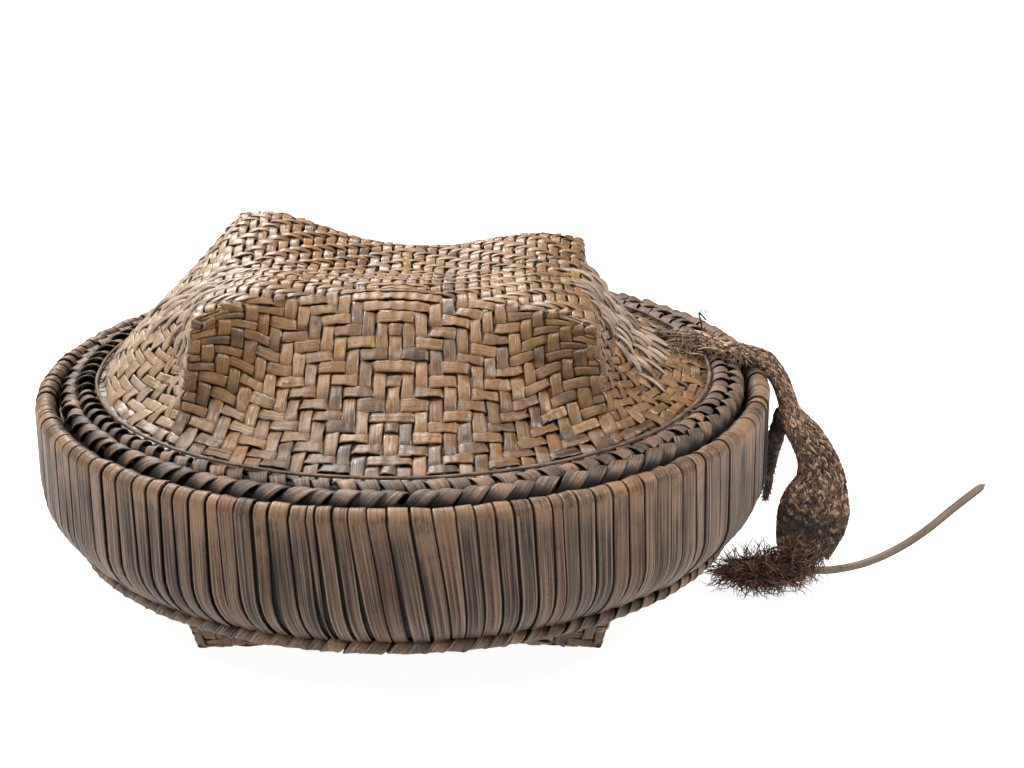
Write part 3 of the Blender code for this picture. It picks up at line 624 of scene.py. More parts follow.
def make_tassel():
    """The frayed end of the strap: a tangle of kinked fibres spread over the floor."""
    count, steps = 1700, 10
    t = np.linspace(0, 1, steps)[None, :, None]
    root = unit(chance.normal(size=(count, 3))) * chance.random((count, 1)) ** .4
    root = root * (.0185, .0078, .0052) + TASSEL_CENTRE
    root[:, 2] -= .0012
    tied = chance.random(count) < .22
    root[tied] = np.array([.1690, -.0200, .0165]) + chance.normal(size=(tied.sum(), 3)) * (.0045, .0022, .0015)
    way = (root - TASSEL_CENTRE) / (.0185, .0078, .0052) * (.8, .6, .35)
    way = unit(way + chance.normal(size=(count, 3)) * (1.1, .7, .42))
    way[tied] = unit(np.array([-.7, -.1, -.75]) + chance.normal(size=(tied.sum(), 3)) * .35)
    length = chance.uniform(.0045, .0135, count)[:, None, None]
    side = unit(np.cross(way, chance.normal(size=(count, 3))))
    other = np.cross(way, side)
    curl = chance.uniform(.0006, .0036, (count, 1, 1))
    phase = chance.uniform(0, 2 * math.pi, (count, 1, 1)) + t * chance.uniform(1.5, 6, (count, 1, 1))
    centres = root[:, None] + way[:, None] * t * length \
        + (side[:, None] * np.cos(phase) + other[:, None] * np.sin(phase)) * curl * t
    centres[..., 2] = np.maximum(centres[..., 2], .0006)
    centres[..., 0] = np.clip(centres[..., 0], .1235, .1790)
    facing = unit(chance.normal(size=(count, 1, 3))) + np.zeros(centres.shape)
    thin = .00024 * (1 - .75 * np.linspace(0, 1, steps) ** 2)
    # Painted shade: the fibres are darker at their roots, deep in the tangle.
    marks = {"tone": chance.random(count), "rise": np.clip(.35 + .75 * t[..., 0], 0, 1)
             + np.zeros((count, steps))}
    piece = strip_mesh("strap_tassel_hairs", centres, facing, thin[None], thin[None] * 2, False,
                       marks, np.array([(-1, -.6), (0, 1), (1, -.6)]))
    return dress(piece, dark_fibre, "lid", "frayed_fibre")


tassel = make_tassel()
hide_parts("strap_tassel")


def make_tongue():
    """The stiff split of cane under the tassel, tapered to a round tip."""
    centres = along_route(TONGUE_ROUTE, 60)
    share = np.linspace(0, 1, 60)
    half = .0019 * np.minimum(1, np.sqrt(np.clip((1 - share) / .03, 0, 1)) + .12)
    facing = np.zeros((1, 60, 3)) + (0, -.55, .8)
    marks = {"tone": np.array([.5]), "rise": np.array([1.0])}
    piece = strip_mesh("loose_cane_split", centres[None], facing, half[None], .0012, False, marks)
    return dress(piece, tongue_cane, "lid", "bare_cane", "cane_tongue")


tongue = make_tongue()


# Plaited sheets

def turned(points, quarters):
    """Points turned by quarter turns about the upright axis."""
    x, y, z = points[..., 0], points[..., 1], points[..., 2]
    for _ in range(quarters):
        x, y = -y, x
    return np.stack([x, y, z], -1)


def edge_line(side, along, reaches, corner, heights):
    """Points on one edge of a square top or bottom."""
    out = reaches[side] + (corner - reaches[side]) * along ** 2
    return turned(np.stack([corner * along, -out, heights(side, along)], -1), side)


def lid_heights(side, along):
    """Heights along one edge of the raised top, from peak to peak."""
    rises = along_route(np.array(LID_EDGE_RISES[side])[:, None], 161)[:, 0]
    return HOOP_TOP + np.interp(along, np.linspace(-1, 1, 161), rises)


def foot_heights(side, along):
    """Heights along one edge of the bottom, which is hollow between the feet."""
    return FOOT_HOLLOW * np.maximum(0, 1 - abs(along) / FOOT_FLAT_SHARE)


def lid_edge(side, along):
    """An edge of the lid's top."""
    return edge_line(side, along, LID_REACHES, LID_CORNER, lid_heights)


def foot_edge(side, along):
    """An edge of the base's bottom."""
    return edge_line(side, along, (FOOT_SIDE_REACH,) * 4, FOOT_CORNER, foot_heights)


def patch(edge, a, b):
    """Points inside four edges, blended from all of them."""
    p, q = ((1 + a) / 2)[..., None], ((1 + b) / 2)[..., None]
    one = np.ones_like(a)
    across = edge(3, -b) * (1 - p) + edge(1, b) * p
    along = edge(0, a) * (1 - q) + edge(2, -a) * q
    low = edge(0, -one) * (1 - p) + edge(0, one) * p
    high = edge(2, one) * (1 - p) + edge(2, -one) * p
    return across + along - low * (1 - q) - high * q


def rim_line(side, along, radius, height):
    """Points on a level circle, matched to places along a side."""
    angle = (side - 1 + along / 2) * math.pi / 2
    return np.stack([radius * np.cos(angle), radius * np.sin(angle),
                     height + np.zeros_like(angle)], -1)


def bezier(start, first, second, end, share):
    """Points on a cubic curve."""
    t = share[..., None]
    return (start * (1 - t) ** 3 + first * 3 * t * (1 - t) ** 2
            + second * 3 * t ** 2 * (1 - t) + end * t ** 3)


def ease(value):
    """An even ramp from 0 to 1."""
    value = np.clip(value, 0, 1)
    return value * value * (3 - 2 * value)


LID_SLOPE_SHARE = .9


def handles(middles, corners, side, along):
    """How a slope's curve is drawn out at places along a side, from its middle to its corners."""
    full = ease((abs(along) - .25) / .60)[..., None]
    before, after = np.array(corners[side]), np.array(corners[(side + 1) % 4])
    corner = np.where((along < 0)[..., None], before, after)
    mixed = np.array(middles[side]) * (1 - full) + corner * full
    return mixed[..., :1], mixed[..., 1:]


def lid_flank(side, along, down):
    """The lid's sloping side and its narrow flange."""
    start = lid_edge(side, along)
    end = rim_line(side, along, LID_FLANGE_RADIUS, LID_FLANGE_TOP)
    run = (end - start) * (1, 1, 0)
    drop = (start - end) * (0, 0, 1)
    out, fall = handles(SIDE_SHOULDERS, CORNER_SHOULDERS, side, along)
    back, rise = handles(SIDE_HEELS, CORNER_HEELS, side, along)
    first = start + run * out - drop * fall
    second = end - run * back + drop * rise
    slope = bezier(start, first, second, end, np.clip(down / LID_SLOPE_SHARE, 0, 1))
    flange = np.clip((down - LID_SLOPE_SHARE) / (1 - LID_SLOPE_SHARE), 0, 1)
    rim = rim_line(side, along, LID_RIM_RADIUS, LID_FLANGE_TOP - .0008)
    return slope + (rim - end) * flange[..., None]


def band_point(share, offset):
    """A point beside the hoop's middle line: share 0 is its foot and 1 its top."""
    left = np.maximum(0, 1 - share / BELLY_SHARE)
    radius = HOOP_CENTRE_RADIUS - HOOP_TUCK * left ** 2
    height = BAND_TOP - BAND_RISE * (1 - share)
    lean = 2 * HOOP_TUCK * left / BELLY_SHARE
    length = np.hypot(lean, BAND_RISE)
    return radius + offset * BAND_RISE / length, height - offset * lean / length


def base_flank(side, along, up):
    """The base's flared side between its feet and the hoop, then its wall inside the hoop."""
    gap = HOOP_THICKNESS / 2 + .0003
    radii, heights = band_point(np.array([0, .16, .38]), -gap)
    tip = np.array(band_point(0, 0)) - (np.array(band_point(0, gap)) - band_point(0, 0))[::-1] * (-1, 1)
    radii = np.concatenate([[tip[0]] * 2, radii, radii[-1:]])
    heights = np.concatenate([[LOWER_ROD[1], tip[1]], heights, [INNER_WALL_TOP]])
    start = foot_edge(side, along)
    end = rim_line(side, along, radii[0], heights[0])
    run = (end - start) * (1, 1, 0)
    rise = (end - start) * (0, 0, 1)
    first = start + run * .10 + rise * .45
    slope = bezier(start, first, end - run * .45, end, np.clip(up * 2, 0, 1))
    climb = np.clip(up * 2 - 1, 0, 1)
    spots = np.linspace(0, 1, len(radii))
    wall = rim_line(side, along, np.interp(climb, spots, radii), np.interp(climb, spots, heights))
    return np.where((up > .5)[..., None], wall, slope)


def lid_patch(a, b):
    """The lid's raised top."""
    return patch(lid_edge, a, b)


def foot_patch(a, b):
    """The base's bottom."""
    points = patch(foot_edge, a, b)
    points[..., 2] = FOOT_HOLLOW * np.maximum(0, 1 - abs(a * b) / FOOT_FLAT_SHARE)
    return points


GRID = 240


def side_axes(side, u, v):
    """How far a grid point lies along a side and out towards it."""
    return ((u, -v), (v, u), (-u, v), (-v, -u))[side]


def sheet_grid(top, flank, rounds, shift, outward):
    """A sheet's points and facings over an even square grid, softened at its folds."""
    ticks = np.linspace(-1, 1, GRID + 1)
    u, v = np.meshgrid(ticks, ticks, indexing="ij")
    level = np.maximum(abs(u), abs(v))
    points = np.zeros(u.shape + (3,))
    inside = level <= PATCH_SHARE + 1e-9
    points[inside] = top(u[inside] / PATCH_SHARE, v[inside] / PATCH_SHARE)
    for side in range(4):
        along, out = side_axes(side, u, v)
        here = (out >= level - 1e-9) & ~inside
        points[here] = flank(side, along[here] / level[here],
                             (level[here] - PATCH_SHARE) / (1 - PATCH_SHARE))
    for _ in range(rounds):
        inner = points[1:-1, 1:-1]
        near = (points[2:, 1:-1] + points[:-2, 1:-1] + points[1:-1, 2:] + points[1:-1, :-2]) / 4
        points[1:-1, 1:-1] = (inner + near) / 2
    across, along = np.gradient(points, axis=0), np.gradient(points, axis=1)
    facing = unit(np.cross(across, along)) * outward
    for _ in range(3):
        facing[1:-1, 1:-1] = unit(facing[1:-1, 1:-1] * 2 + facing[2:, 1:-1] + facing[:-2, 1:-1]
                                  + facing[1:-1, 2:] + facing[1:-1, :-2])
    return points + facing * shift, facing


def sampled(grid, places):
    """Values of a grid at places between its points."""
    spot = np.clip((places + 1) / 2 * GRID, 0, GRID - 1e-6)
    low = spot.astype(int)
    part = spot - low
    i, j = low[..., 0], low[..., 1]
    p, q = part[..., 0, None], part[..., 1, None]
    return (grid[i, j] * (1 - p) * (1 - q) + grid[i + 1, j] * p * (1 - q)
            + grid[i, j + 1] * (1 - p) * q + grid[i + 1, j + 1] * p * q)


def on_side(side, along, level):
    """Grid places at a distance along a side and out towards it."""
    u, v = along * level, level
    return np.stack(((u, -v), (v, u), (-u, v), (-v, -u))[side], -1)


def wavering(strips, stations, size, smooth=5):
    """Small slow wanderings along each strip."""
    raw = chance.normal(size=(strips, stations + smooth * 2))
    kernel = np.hanning(smooth * 2 + 1)
    kernel /= np.sqrt((kernel ** 2).sum())
    return np.stack([np.convolve(row, kernel, 'valid') for row in raw])[:, :stations] * size


def in_steps(values, closed):
    """Values at the steps between one crossing and the next."""
    after = np.roll(values, -1, 1) if closed else values[:, 1:]
    before = values if closed else values[:, :-1]
    parts = [before * (1 - s) + after * s for s in STEP_SHARES]
    out = np.stack(parts, 2).reshape((values.shape[0], -1) + values.shape[2:])
    return out if closed else np.concatenate([out, values[:, -1:]], 1)


def stepped_lift(over, closed):
    """Lift at the steps: high on an over, low on an under, level at the change."""
    after = np.roll(over, -1, 1) if closed else over[:, 1:]
    before = over if closed else over[:, :-1]
    same = before == after
    middle = np.where(same, before * 1.40, 0)
    out = np.stack([before, before, middle, after], 2).reshape(over.shape[0], -1)
    return out if closed else np.concatenate([out, over[:, -1:]], 1)


def float_tones(over, spread):
    """One tint for each strip and a smaller change for each place where it shows."""
    run = np.cumsum(np.diff(over, axis=1, prepend=over[:, :1]) != 0, axis=1)
    table = chance.random((over.shape[0], run.max() + 1))
    own = chance.random((over.shape[0], 1))
    return own * (1 - spread) + np.take_along_axis(table, run, 1) * spread


def weave(name, sheet, places, over, closed, fill, widest, lift, bold=None):
    """A family of strips that follow a sheet over and under another family."""
    grid, facing = sheet
    steps = in_steps(places, closed)
    heights = stepped_lift(over, closed)
    gain = np.ones(over.shape) if bold is None else np.broadcast_to(bold, over.shape)
    gain = in_steps(gain, closed)
    points = sampled(grid, steps)
    faces = unit(sampled(facing, steps))
    if closed:
        tangent = unit(np.roll(points, -1, 1) - np.roll(points, 1, 1))
    else:
        tangent = unit(np.gradient(points, axis=1))
    beside = np.gradient(points, axis=0)
    room = np.linalg.norm(beside - tangent * (beside * tangent).sum(-1, keepdims=True), axis=-1)
    easy = np.clip(room / .0042, .45, 1)
    centres = points + faces * (heights * lift * easy * gain)[..., None]
    if not closed:
        for _ in range(2):
            centres[:, 1:-1] = centres[:, 1:-1] * .7 + (centres[:, 2:] + centres[:, :-2]) * .15
    tilt = wavering(*room.shape, .13, 3)
    side = unit(np.cross(tangent, faces))
    faces = unit(faces + side * tilt[..., None])
    own = chance.uniform(.89, 1.0, (room.shape[0], 1))
    half = np.minimum(room * fill, widest) / 2 * own * (1 + wavering(*room.shape, .06, 3))
    half = half * (1.20 - .20 * gain) * (1 + .20 * np.clip(-heights, 0, 1))
    tones = np.repeat(float_tones(over, .55), len(STEP_SHARES), 1)[:, :room.shape[1]]
    if tones.shape[1] < room.shape[1]:
        tones = np.concatenate([tones, tones[:, -1:]], 1)
    # Painted light: faces turned up and to the left, towards the lamps, are laid paler.
    painted_light_share = np.clip(faces @ np.array([-.95, .25, .45]) - .33, 0, .8)
    # Painted shade: tone and rise are darkened low down towards the front; on the lid this is next to the rope
    # border.
    painted_shade_low_front = ease((.107 - points[..., 2]) / .014) * ease(-(points[..., 1] + .05) / .05)
    # Painted shade: rise is low where a strip dips under the other family; an under strip is kept bright for
    # the view from the other side.
    rise = np.maximum(np.clip(.5 + .5 * heights, 0, 1), -.75 * heights)
    marks = {"tone": tones - .30 * painted_shade_low_front, "rise": rise * (1 - .16 * painted_shade_low_front), "wear_and_painted_light": painted_light_share}
    return strip_mesh(name, centres, faces, half, CANE_THICKNESS * (.75 + .25 * easy), closed, marks)


STAKE_SHARES = (np.arange(STAKES) - STAKES // 2) / (STAKES / 2)
STAKE_NUMBERS = abs(np.arange(STAKES) - STAKES // 2)


def row_levels(flank, rows, crowd, first=0.0, last=1.0):
    """How far out each row lies, along each side, at even distances down the slope."""
    spots = np.linspace(-1, 1, 129)
    downs = np.linspace(first, last, 200)
    table = np.zeros((4, rows, 129))
    for side in range(4):
        a, d = np.meshgrid(spots, downs, indexing="ij")
        length = np.linalg.norm(np.diff(flank(side, a, d), axis=1), axis=-1)
        length = np.concatenate([np.zeros((129, 1)), np.cumsum(length, 1)], 1)
        for k, spot in enumerate(spots):
            share = ((np.arange(rows) + .5) / rows) ** (1 + crowd * ease((abs(spot) - .45) / .5))
            table[side, :, k] = np.interp(share * length[k, -1], length[k], downs)
    return PATCH_SHARE + (1 - PATCH_SHARE) * table


def row_at(table, side, row, along):
    """A row's distance out at a place along a side."""
    return np.interp(along, np.linspace(-1, 1, 129), table[side, row])


def stake_places(table, extra, pull):
    """Where each stake crosses each row, over the middle from one side to the other."""
    rows = table.shape[1]
    families = []
    for first, second in ((0, 2), (3, 1)):
        family = []
        for k, share in enumerate(STAKE_SHARES):
            line = []
            for side, sign in ((first, 1), (second, -1)):
                start = share if first == 0 else -share
                start = start * sign
                leg = []
                for row in range(rows):
                    down = (row + .5) / rows
                    end = math.asin(start * math.sin(math.pi / 4)) / (math.pi / 4)
                    along = start + (end - start) * down * pull
                    leg.append(on_side(side, along, row_at(table, side, row, along)))
                for level in extra:
                    leg.append(on_side(side, start + (end - start) * pull, level))
                line.append(leg)
            middle = [(share * PATCH_SHARE, b * PATCH_SHARE) if first == 0
                      else (b * PATCH_SHARE, share * PATCH_SHARE) for b in STAKE_SHARES]
            family.append(line[0][::-1] + middle + line[1])
        families.append(np.array(family))
    return families


def row_places(table, pull):
    """Where each row crosses each stake, all the way round."""
    rows = table.shape[1]
    out = []
    for row in range(rows):
        line = []
        for side in range(4):
            for start in STAKE_SHARES:
                end = math.asin(start * math.sin(math.pi / 4)) / (math.pi / 4)
                along = start + (end - start) * (row + .5) / rows * pull
                line.append(on_side(side, along, row_at(table, side, row, along)))
        out.append(line)
    return np.array(out)


def twill(first, second):
    """True where the first family lies over the second in the mirrored twill."""
    return (first + second) % 4 < 2


def lid_patterns():
    """Which strip lies on top: the top's two families, then stakes over rows on the slopes."""
    i = STAKE_NUMBERS[:, None]
    rows = np.arange(LID_ROWS)[None]
    m = STAKE_NUMBERS[None]
    y_top = twill(i, m)
    near = (np.arange(STAKES)[None] + i) < 3
    y_top = y_top & ~near
    y_slope = twill(i, rows)
    y_front = y_slope & ~(i + rows <= 3)
    x_slope = twill(i, rows + 2)
    return y_top, y_front, y_slope, x_slope


def signed(over):
    """Over as 1 and under as -1."""
    return np.where(over, 1.0, -1.0)


def make_lid_plait():
    """The lid's plait: strips both ways over the top, bent down the slopes through the rows."""
    sheet = sheet_grid(lid_patch, lid_flank, 10, -.0009, 1)
    table = row_levels(lid_flank, LID_ROWS, .55, 0, LID_SLOPE_SHARE)
    extra = (.965, 1.0)
    along_y, along_x = stake_places(table, extra, 1.0)
    y_top, y_front, y_slope, x_slope = lid_patterns()
    flat = np.zeros((STAKES, len(extra)))
    over_y = np.concatenate([flat, signed(y_front)[:, ::-1], signed(y_top),
                             signed(y_slope), flat], 1)
    over_x = np.concatenate([flat, signed(x_slope)[:, ::-1], signed(~y_top.T),
                             signed(x_slope), flat], 1)
    rounds = signed(~np.concatenate([y_front, x_slope, y_slope, x_slope], 0).T)
    rings = row_places(table, 1.0)
    for family in (along_y, along_x):
        size = family.shape[:2]
        family[..., 0] += wavering(*size, .0014)
        family[..., 1] += wavering(*size, .0014)
    rings += wavering(LID_ROWS, rings.shape[1], .0020)[..., None] * np.sign(rings)
    slope_gain = np.ones(LID_ROWS + len(extra))
    bold = np.concatenate([slope_gain, np.full(STAKES, 1.5), slope_gain])
    pieces = [
        weave("lid_strips_front_to_back", sheet, along_y, over_y, False, 1.0, .0068, CANE_LIFT, bold),
        weave("lid_strips_side_to_side", sheet, along_x, over_x, False, 1.0, .0068, CANE_LIFT, bold),
        weave("lid_rows", sheet, rings, rounds, True, 1.0, .0068, CANE_LIFT),
    ]
    for piece in pieces:
        dress(piece, plait_cane, "lid", "plaited_cane", "lid_plait")
    return sheet


lid_sheet = make_lid_plait()


def drawn_strips(name, side, first, last, columns, rows, step):
    """Narrow strips that lie close together and partly on edge down a steep slope."""
    grid, facing = lid_sheet
    t = np.linspace(0, 1, 9)[None]
    column, row = (part.reshape(-1, 1) for part in np.meshgrid(np.arange(columns), np.arange(rows)))
    count = len(row)
    share = (column + .5 * (row % 2) + chance.uniform(-.22, .22, (count, 1))) / columns
    along = first + (last - first) * share + chance.normal(0, .02, (count, 1)) * (t - .5)
    down = (row + chance.uniform(-.6, .2, (count, 1)) + chance.uniform(1.2, 1.7, (count, 1)) * t) * step
    places = on_side(side, along, PATCH_SHARE + (1 - PATCH_SHARE) * down * LID_SLOPE_SHARE)
    faces = unit(sampled(facing, places))
    lift = .0004 + .0022 * np.sin(math.pi * t) * chance.uniform(.6, 1.2, (count, 1))
    centres = sampled(grid, places) + faces * lift[..., None]
    turned_faces = unit(faces + np.array([0, -.7, .3]) * chance.uniform(.5, 1.2, (count, 1, 1)))
    half = .0013 * np.sin(math.pi * np.clip(t * .94 + .03, 0, 1)) ** .5 \
        * chance.uniform(.7, 1.2, (count, 1))
    # Painted shade: each strip is darker at both ends, where it tucks under the plait.
    marks = {"tone": chance.random(count), "rise": np.clip(np.sin(math.pi * t) * 1.3, 0, 1)
             + np.zeros((count, 9))}
    piece = strip_mesh(name, centres, turned_faces, half, .0010, False, marks, LEAF_SECTION)
    dress(piece, sliver_cane, "lid", "plaited_cane", "lid_plait")


drawn_strips("lid_drawn_strips_right", 1, -.48, .40, 9, 5, .17)
drawn_strips("lid_drawn_strips_left", 3, -.05, .90, 10, 3, .16)


def make_base_plait():
    """The base's plait: the same strips up from the bottom, then inside the hoop."""
    sheet = sheet_grid(foot_patch, base_flank, 8, -.0012, -1)
    slope = row_levels(base_flank, BASE_ROWS, .3, 0, .5)
    wall = row_levels(base_flank, WALL_ROWS, 0, .5, 1)
    table = np.concatenate([slope, wall], 1)
    rows = BASE_ROWS + WALL_ROWS
    along_y, along_x = stake_places(table, (.995,), 0.0)
    i = STAKE_NUMBERS[:, None]
    y_top = twill(i, STAKE_NUMBERS[None])
    y_slope = twill(i, np.arange(rows)[None])
    x_slope = twill(i, np.arange(rows)[None] + 2)
    flat = np.zeros((STAKES, 1))
    over_y = np.concatenate([flat, signed(y_slope)[:, ::-1], signed(y_top),
                             signed(y_slope), flat], 1)
    over_x = np.concatenate([flat, signed(x_slope)[:, ::-1], signed(~y_top.T),
                             signed(x_slope), flat], 1)
    rounds = signed(~np.concatenate([y_slope, x_slope, y_slope, x_slope], 0).T)
    rings = row_places(table, 0.0)
    lift = CANE_LIFT * .55
    pieces = [
        weave("base_strips_front_to_back", sheet, along_y, over_y, False, 1.05, .0088, lift),
        weave("base_strips_side_to_side", sheet, along_x, over_x, False, 1.05, .0088, lift),
        weave("base_rows", sheet, rings, rounds, True, 1.05, .0088, lift),
    ]
    for piece in pieces:
        dress(piece, plait_cane, "base", "plaited_cane", "base_plait")


make_base_plait()


# Hoop and borders

def hoop_section(strip_thickness):
    """Points and facings round the hoop's section, down its outer side first."""
    reach = HOOP_THICKNESS / 2 - strip_thickness / 2
    points = []
    for share in np.linspace(1, 0, 13):
        points.append(band_point(share, reach))
    for share, turn in ((0, -1), (1, 1)):
        radius, height = band_point(share, 0)
        out_radius, out_height = band_point(share, reach)
        across = np.array([out_radius - radius, out_height - height])
        lift = np.array([-across[1], across[0]]) * turn
        sign = 1 if share == 0 else -1
        for angle in np.radians((30, 60, 90, 120, 150)):
            points.append(np.array([radius, height]) + sign * across * math.cos(angle)
                          + lift * math.sin(angle))
        if share == 0:
            for step in np.linspace(0, 1, 8):
                points.append(band_point(step, -reach))
    points = np.array(points)
    tangent = np.roll(points, -1, 0) - np.roll(points, 1, 0)
    facing = unit(np.stack([-tangent[:, 1], tangent[:, 0]], 1))
    return points, facing


def make_hoop_wrap():
    """The split cane wound round the hoop, turn beside turn, no two of one width."""
    widths = []
    while sum(widths) < 2 * math.pi * HOOP_RADIUS - .004:
        kind = chance.random()
        if kind < .80:
            widths.append(chance.normal(.0069, .0007))
        elif kind < .93:
            widths.append(chance.uniform(.0024, .0042))
        else:
            widths.append(chance.uniform(.0084, .0098))
    widths = np.array(widths) * 2 * math.pi * HOOP_RADIUS / sum(widths)
    seams = np.cumsum(widths) / HOOP_RADIUS
    points, facing = hoop_section(CANE_THICKNESS)
    stations, count = len(points), len(widths)
    depth = np.clip((HOOP_TOP - points[:, 1]) / HOOP_HEIGHT, 0, 1)
    lean = .024 * (.55 - .45 * np.cos(seams - math.radians(200)))[:, None]
    lean = lean + .045 * np.exp(-((seams - math.radians(272)) / math.radians(15)) ** 2)[:, None]
    lean = lean + chance.normal(0, .004, (count, 1))
    lines = seams[:, None] + lean * (depth - .5) + wavering(count, stations, .0007, 9)
    opening = (.00020 + chance.exponential(.00022, (count, 1))) * (.8 + .5 * depth)
    wide = (chance.random((count, 1)) < .18) * chance.uniform(.0004, .0018, (count, 1))
    looser = .0008 * np.clip(np.cos(seams - math.radians(200)), 0, 1)[:, None] ** 2
    looser = looser + .0012 * np.clip(np.cos(seams - math.radians(12)), 0, 1)[:, None] ** 12 \
        * (chance.random((count, 1)) < .4)
    bold = (chance.random((count, 1)) < .07) * chance.uniform(.0003, .0009, (count, 1))
    opening = opening + looser + bold + wide * ease(depth * 1.5 - .35)
    opening = opening / HOOP_RADIUS / 2
    right, left = lines - opening, np.roll(lines + opening, 1, 0)
    left[0] -= 2 * math.pi
    angle = (left + right) / 2
    half = np.maximum((right - left) / 2 * points[:, 0], .0004)
    swell = wavering(count, stations, .00006, 9) + chance.uniform(-.00055, .00010, (count, 1))
    radius = points[:, 0] + facing[:, 0] * swell
    height = points[:, 1] + facing[:, 1] * swell
    centres = np.stack([radius * np.cos(angle), radius * np.sin(angle), height], -1)
    out = np.stack([facing[:, 0] * np.cos(angle), facing[:, 0] * np.sin(angle),
                    facing[:, 1] + np.zeros(angle.shape)], -1)
    around = np.stack([-np.sin(angle), np.cos(angle), np.zeros(angle.shape)], -1)
    out = unit(out + around * chance.normal(0, .13, (count, 1, 1)))
    # Paler towards the top of the hoop: rubbed wear, and painted highlight where the top catches the light.
    reach = chance.uniform(.20, .60, (count, 1))
    wear_and_painted_light = ease(1 - depth / reach) * (facing[:, 0] > -.3)
    marks = {"tone": chance.random(count), "rise": np.ones(count),
             "wear_and_painted_light": wear_and_painted_light * chance.uniform(.2, .8, (count, 1))}
    piece = strip_mesh("hoop_wound_strips", centres, out, half, CANE_THICKNESS * 1.3, True, marks,
                       FLAT_SECTION)
    dress(piece, wrap_cane, "base", "wound_cane",
          *[f"hoop_wrap_{k + 1:02d}" for k in range(16)])


make_hoop_wrap()


def wound_rod(name, ring, turns, slant, depth, per_turn, around, material, body, *nodes):
    """A bent rod wound with one fine strip, turn by turn."""
    major, height, minor = ring
    steps = turns * per_turn
    bpy.ops.mesh.primitive_torus_add(major_radius=major, minor_radius=minor,
                                     major_segments=steps, minor_segments=around,
                                     location=(0, 0, height))
    rod = bpy.context.object
    bpy.ops.object.transform_apply(location=True, rotation=True, scale=True)
    rod.name = name
    mesh = rod.data
    points = np.zeros(len(mesh.vertices) * 3)
    mesh.vertices.foreach_get("co", points)
    points = points.reshape(-1, 3)
    theta = np.arctan2(points[:, 1], points[:, 0])
    flat = np.hypot(points[:, 0], points[:, 1])
    phi = np.arctan2(points[:, 2] - height, flat - major)
    phase = (theta * turns + phi * slant) / (2 * math.pi)
    part = phase - np.floor(phase)
    crown = np.sin(math.pi * part) ** .5
    size = minor * (1 - depth + depth * crown) * (1 + .03 * np.sin(theta * 37))
    new_flat = major + size * np.cos(phi)
    points = np.stack([new_flat * np.cos(theta), new_flat * np.sin(theta),
                       height + size * np.sin(phi)], 1)
    mesh.vertices.foreach_set("co", points.reshape(-1))
    turn_number = np.floor(phase).astype(int)
    table = chance.random(turn_number.max() - turn_number.min() + 1)
    # The edge mark is painted shade: darker in the grooves between turns.
    marks = {"tone": table[turn_number - turn_number.min()], "rise": np.ones(len(points)),
             "edge": 1 - .55 * crown}
    for label, values in marks.items():
        layer = mesh.attributes.new(label, 'FLOAT', 'POINT')
        layer.data.foreach_set("value", values.astype(np.float32))
    uv = mesh.uv_layers.active
    uv.name = "strip"
    corners = np.zeros(len(mesh.loops), dtype=np.int32)
    mesh.loops.foreach_get("vertex_index", corners)
    pairs = np.stack([part * .006, phi * minor], 1)[corners]
    uv.data.foreach_set("uv", pairs.reshape(-1))
    mesh.update()
    bpy.ops.object.shade_smooth()
    rod.select_set(False)
    return dress(rod, material, body, "border_cane", *nodes)


def wound_turns(name, ring, count, slant, material, body, *nodes):
    """Flat strips wound side by side round a bent rod."""
    major, height, minor = ring
    turn = np.linspace(0, 2 * math.pi, 16, endpoint=False)
    pitch = 2 * math.pi / count
    start = np.arange(count) * pitch + chance.normal(0, pitch * .08, count)
    angle = start[:, None] + slant * pitch * (np.sin(turn) + chance.normal(0, .15, (count, 1)))
    size = minor * chance.uniform(.94, 1.08, (count, 1))
    radius = major + np.cos(turn) * size
    centres = np.stack([radius * np.cos(angle), radius * np.sin(angle),
                        height + np.sin(turn) * size], -1)
    out = np.stack([np.cos(turn) * np.cos(angle), np.cos(turn) * np.sin(angle),
                    np.sin(turn) + np.zeros(angle.shape)], -1)
    around = np.stack([-np.sin(angle), np.cos(angle), np.zeros(angle.shape)], -1)
    out = unit(out + around * chance.normal(.10, .06, (count, 1, 1)))
    half = major * pitch / 2 * chance.uniform(.80, .97, (count, 1)) + np.zeros((count, len(turn)))
    marks = {"tone": chance.random(count), "rise": np.ones(count)}
    piece = strip_mesh(name, centres, out, half, .0009, True, marks, FLAT_SECTION)
    dress(piece, material, body, "border_cane", *nodes)


wound_turns("lower_rod_winding", LOWER_ROD, 118, .35, border_cane, "base", "lower_rod")
wound_rod("lower_rod_core", LOWER_ROD[:2] + (LOWER_ROD[2] - .0005,), 90, 1.0, .1, 4, 8, core_cane,
          "base", "lower_rod")
wound_rod("inner_rod_wound", (.1275, .0930, .0008), 240, 1.0, .45, 6, 8,
          rope_cane, "lid", "lid_inner_rod")
wound_rod("rope_border_core", ROPE_BORDER[:2] + (ROPE_CORE_RADIUS,), 90, 1.0, .1, 4, 8,
          core_cane, "lid", "lid_rope_border")
wound_rod("braid_border_core", BRAID_BORDER[:2] + (BRAID_CORE_RADIUS,), 90, 1.0, .1, 4, 8,
          core_cane, "lid", "lid_braid_border")


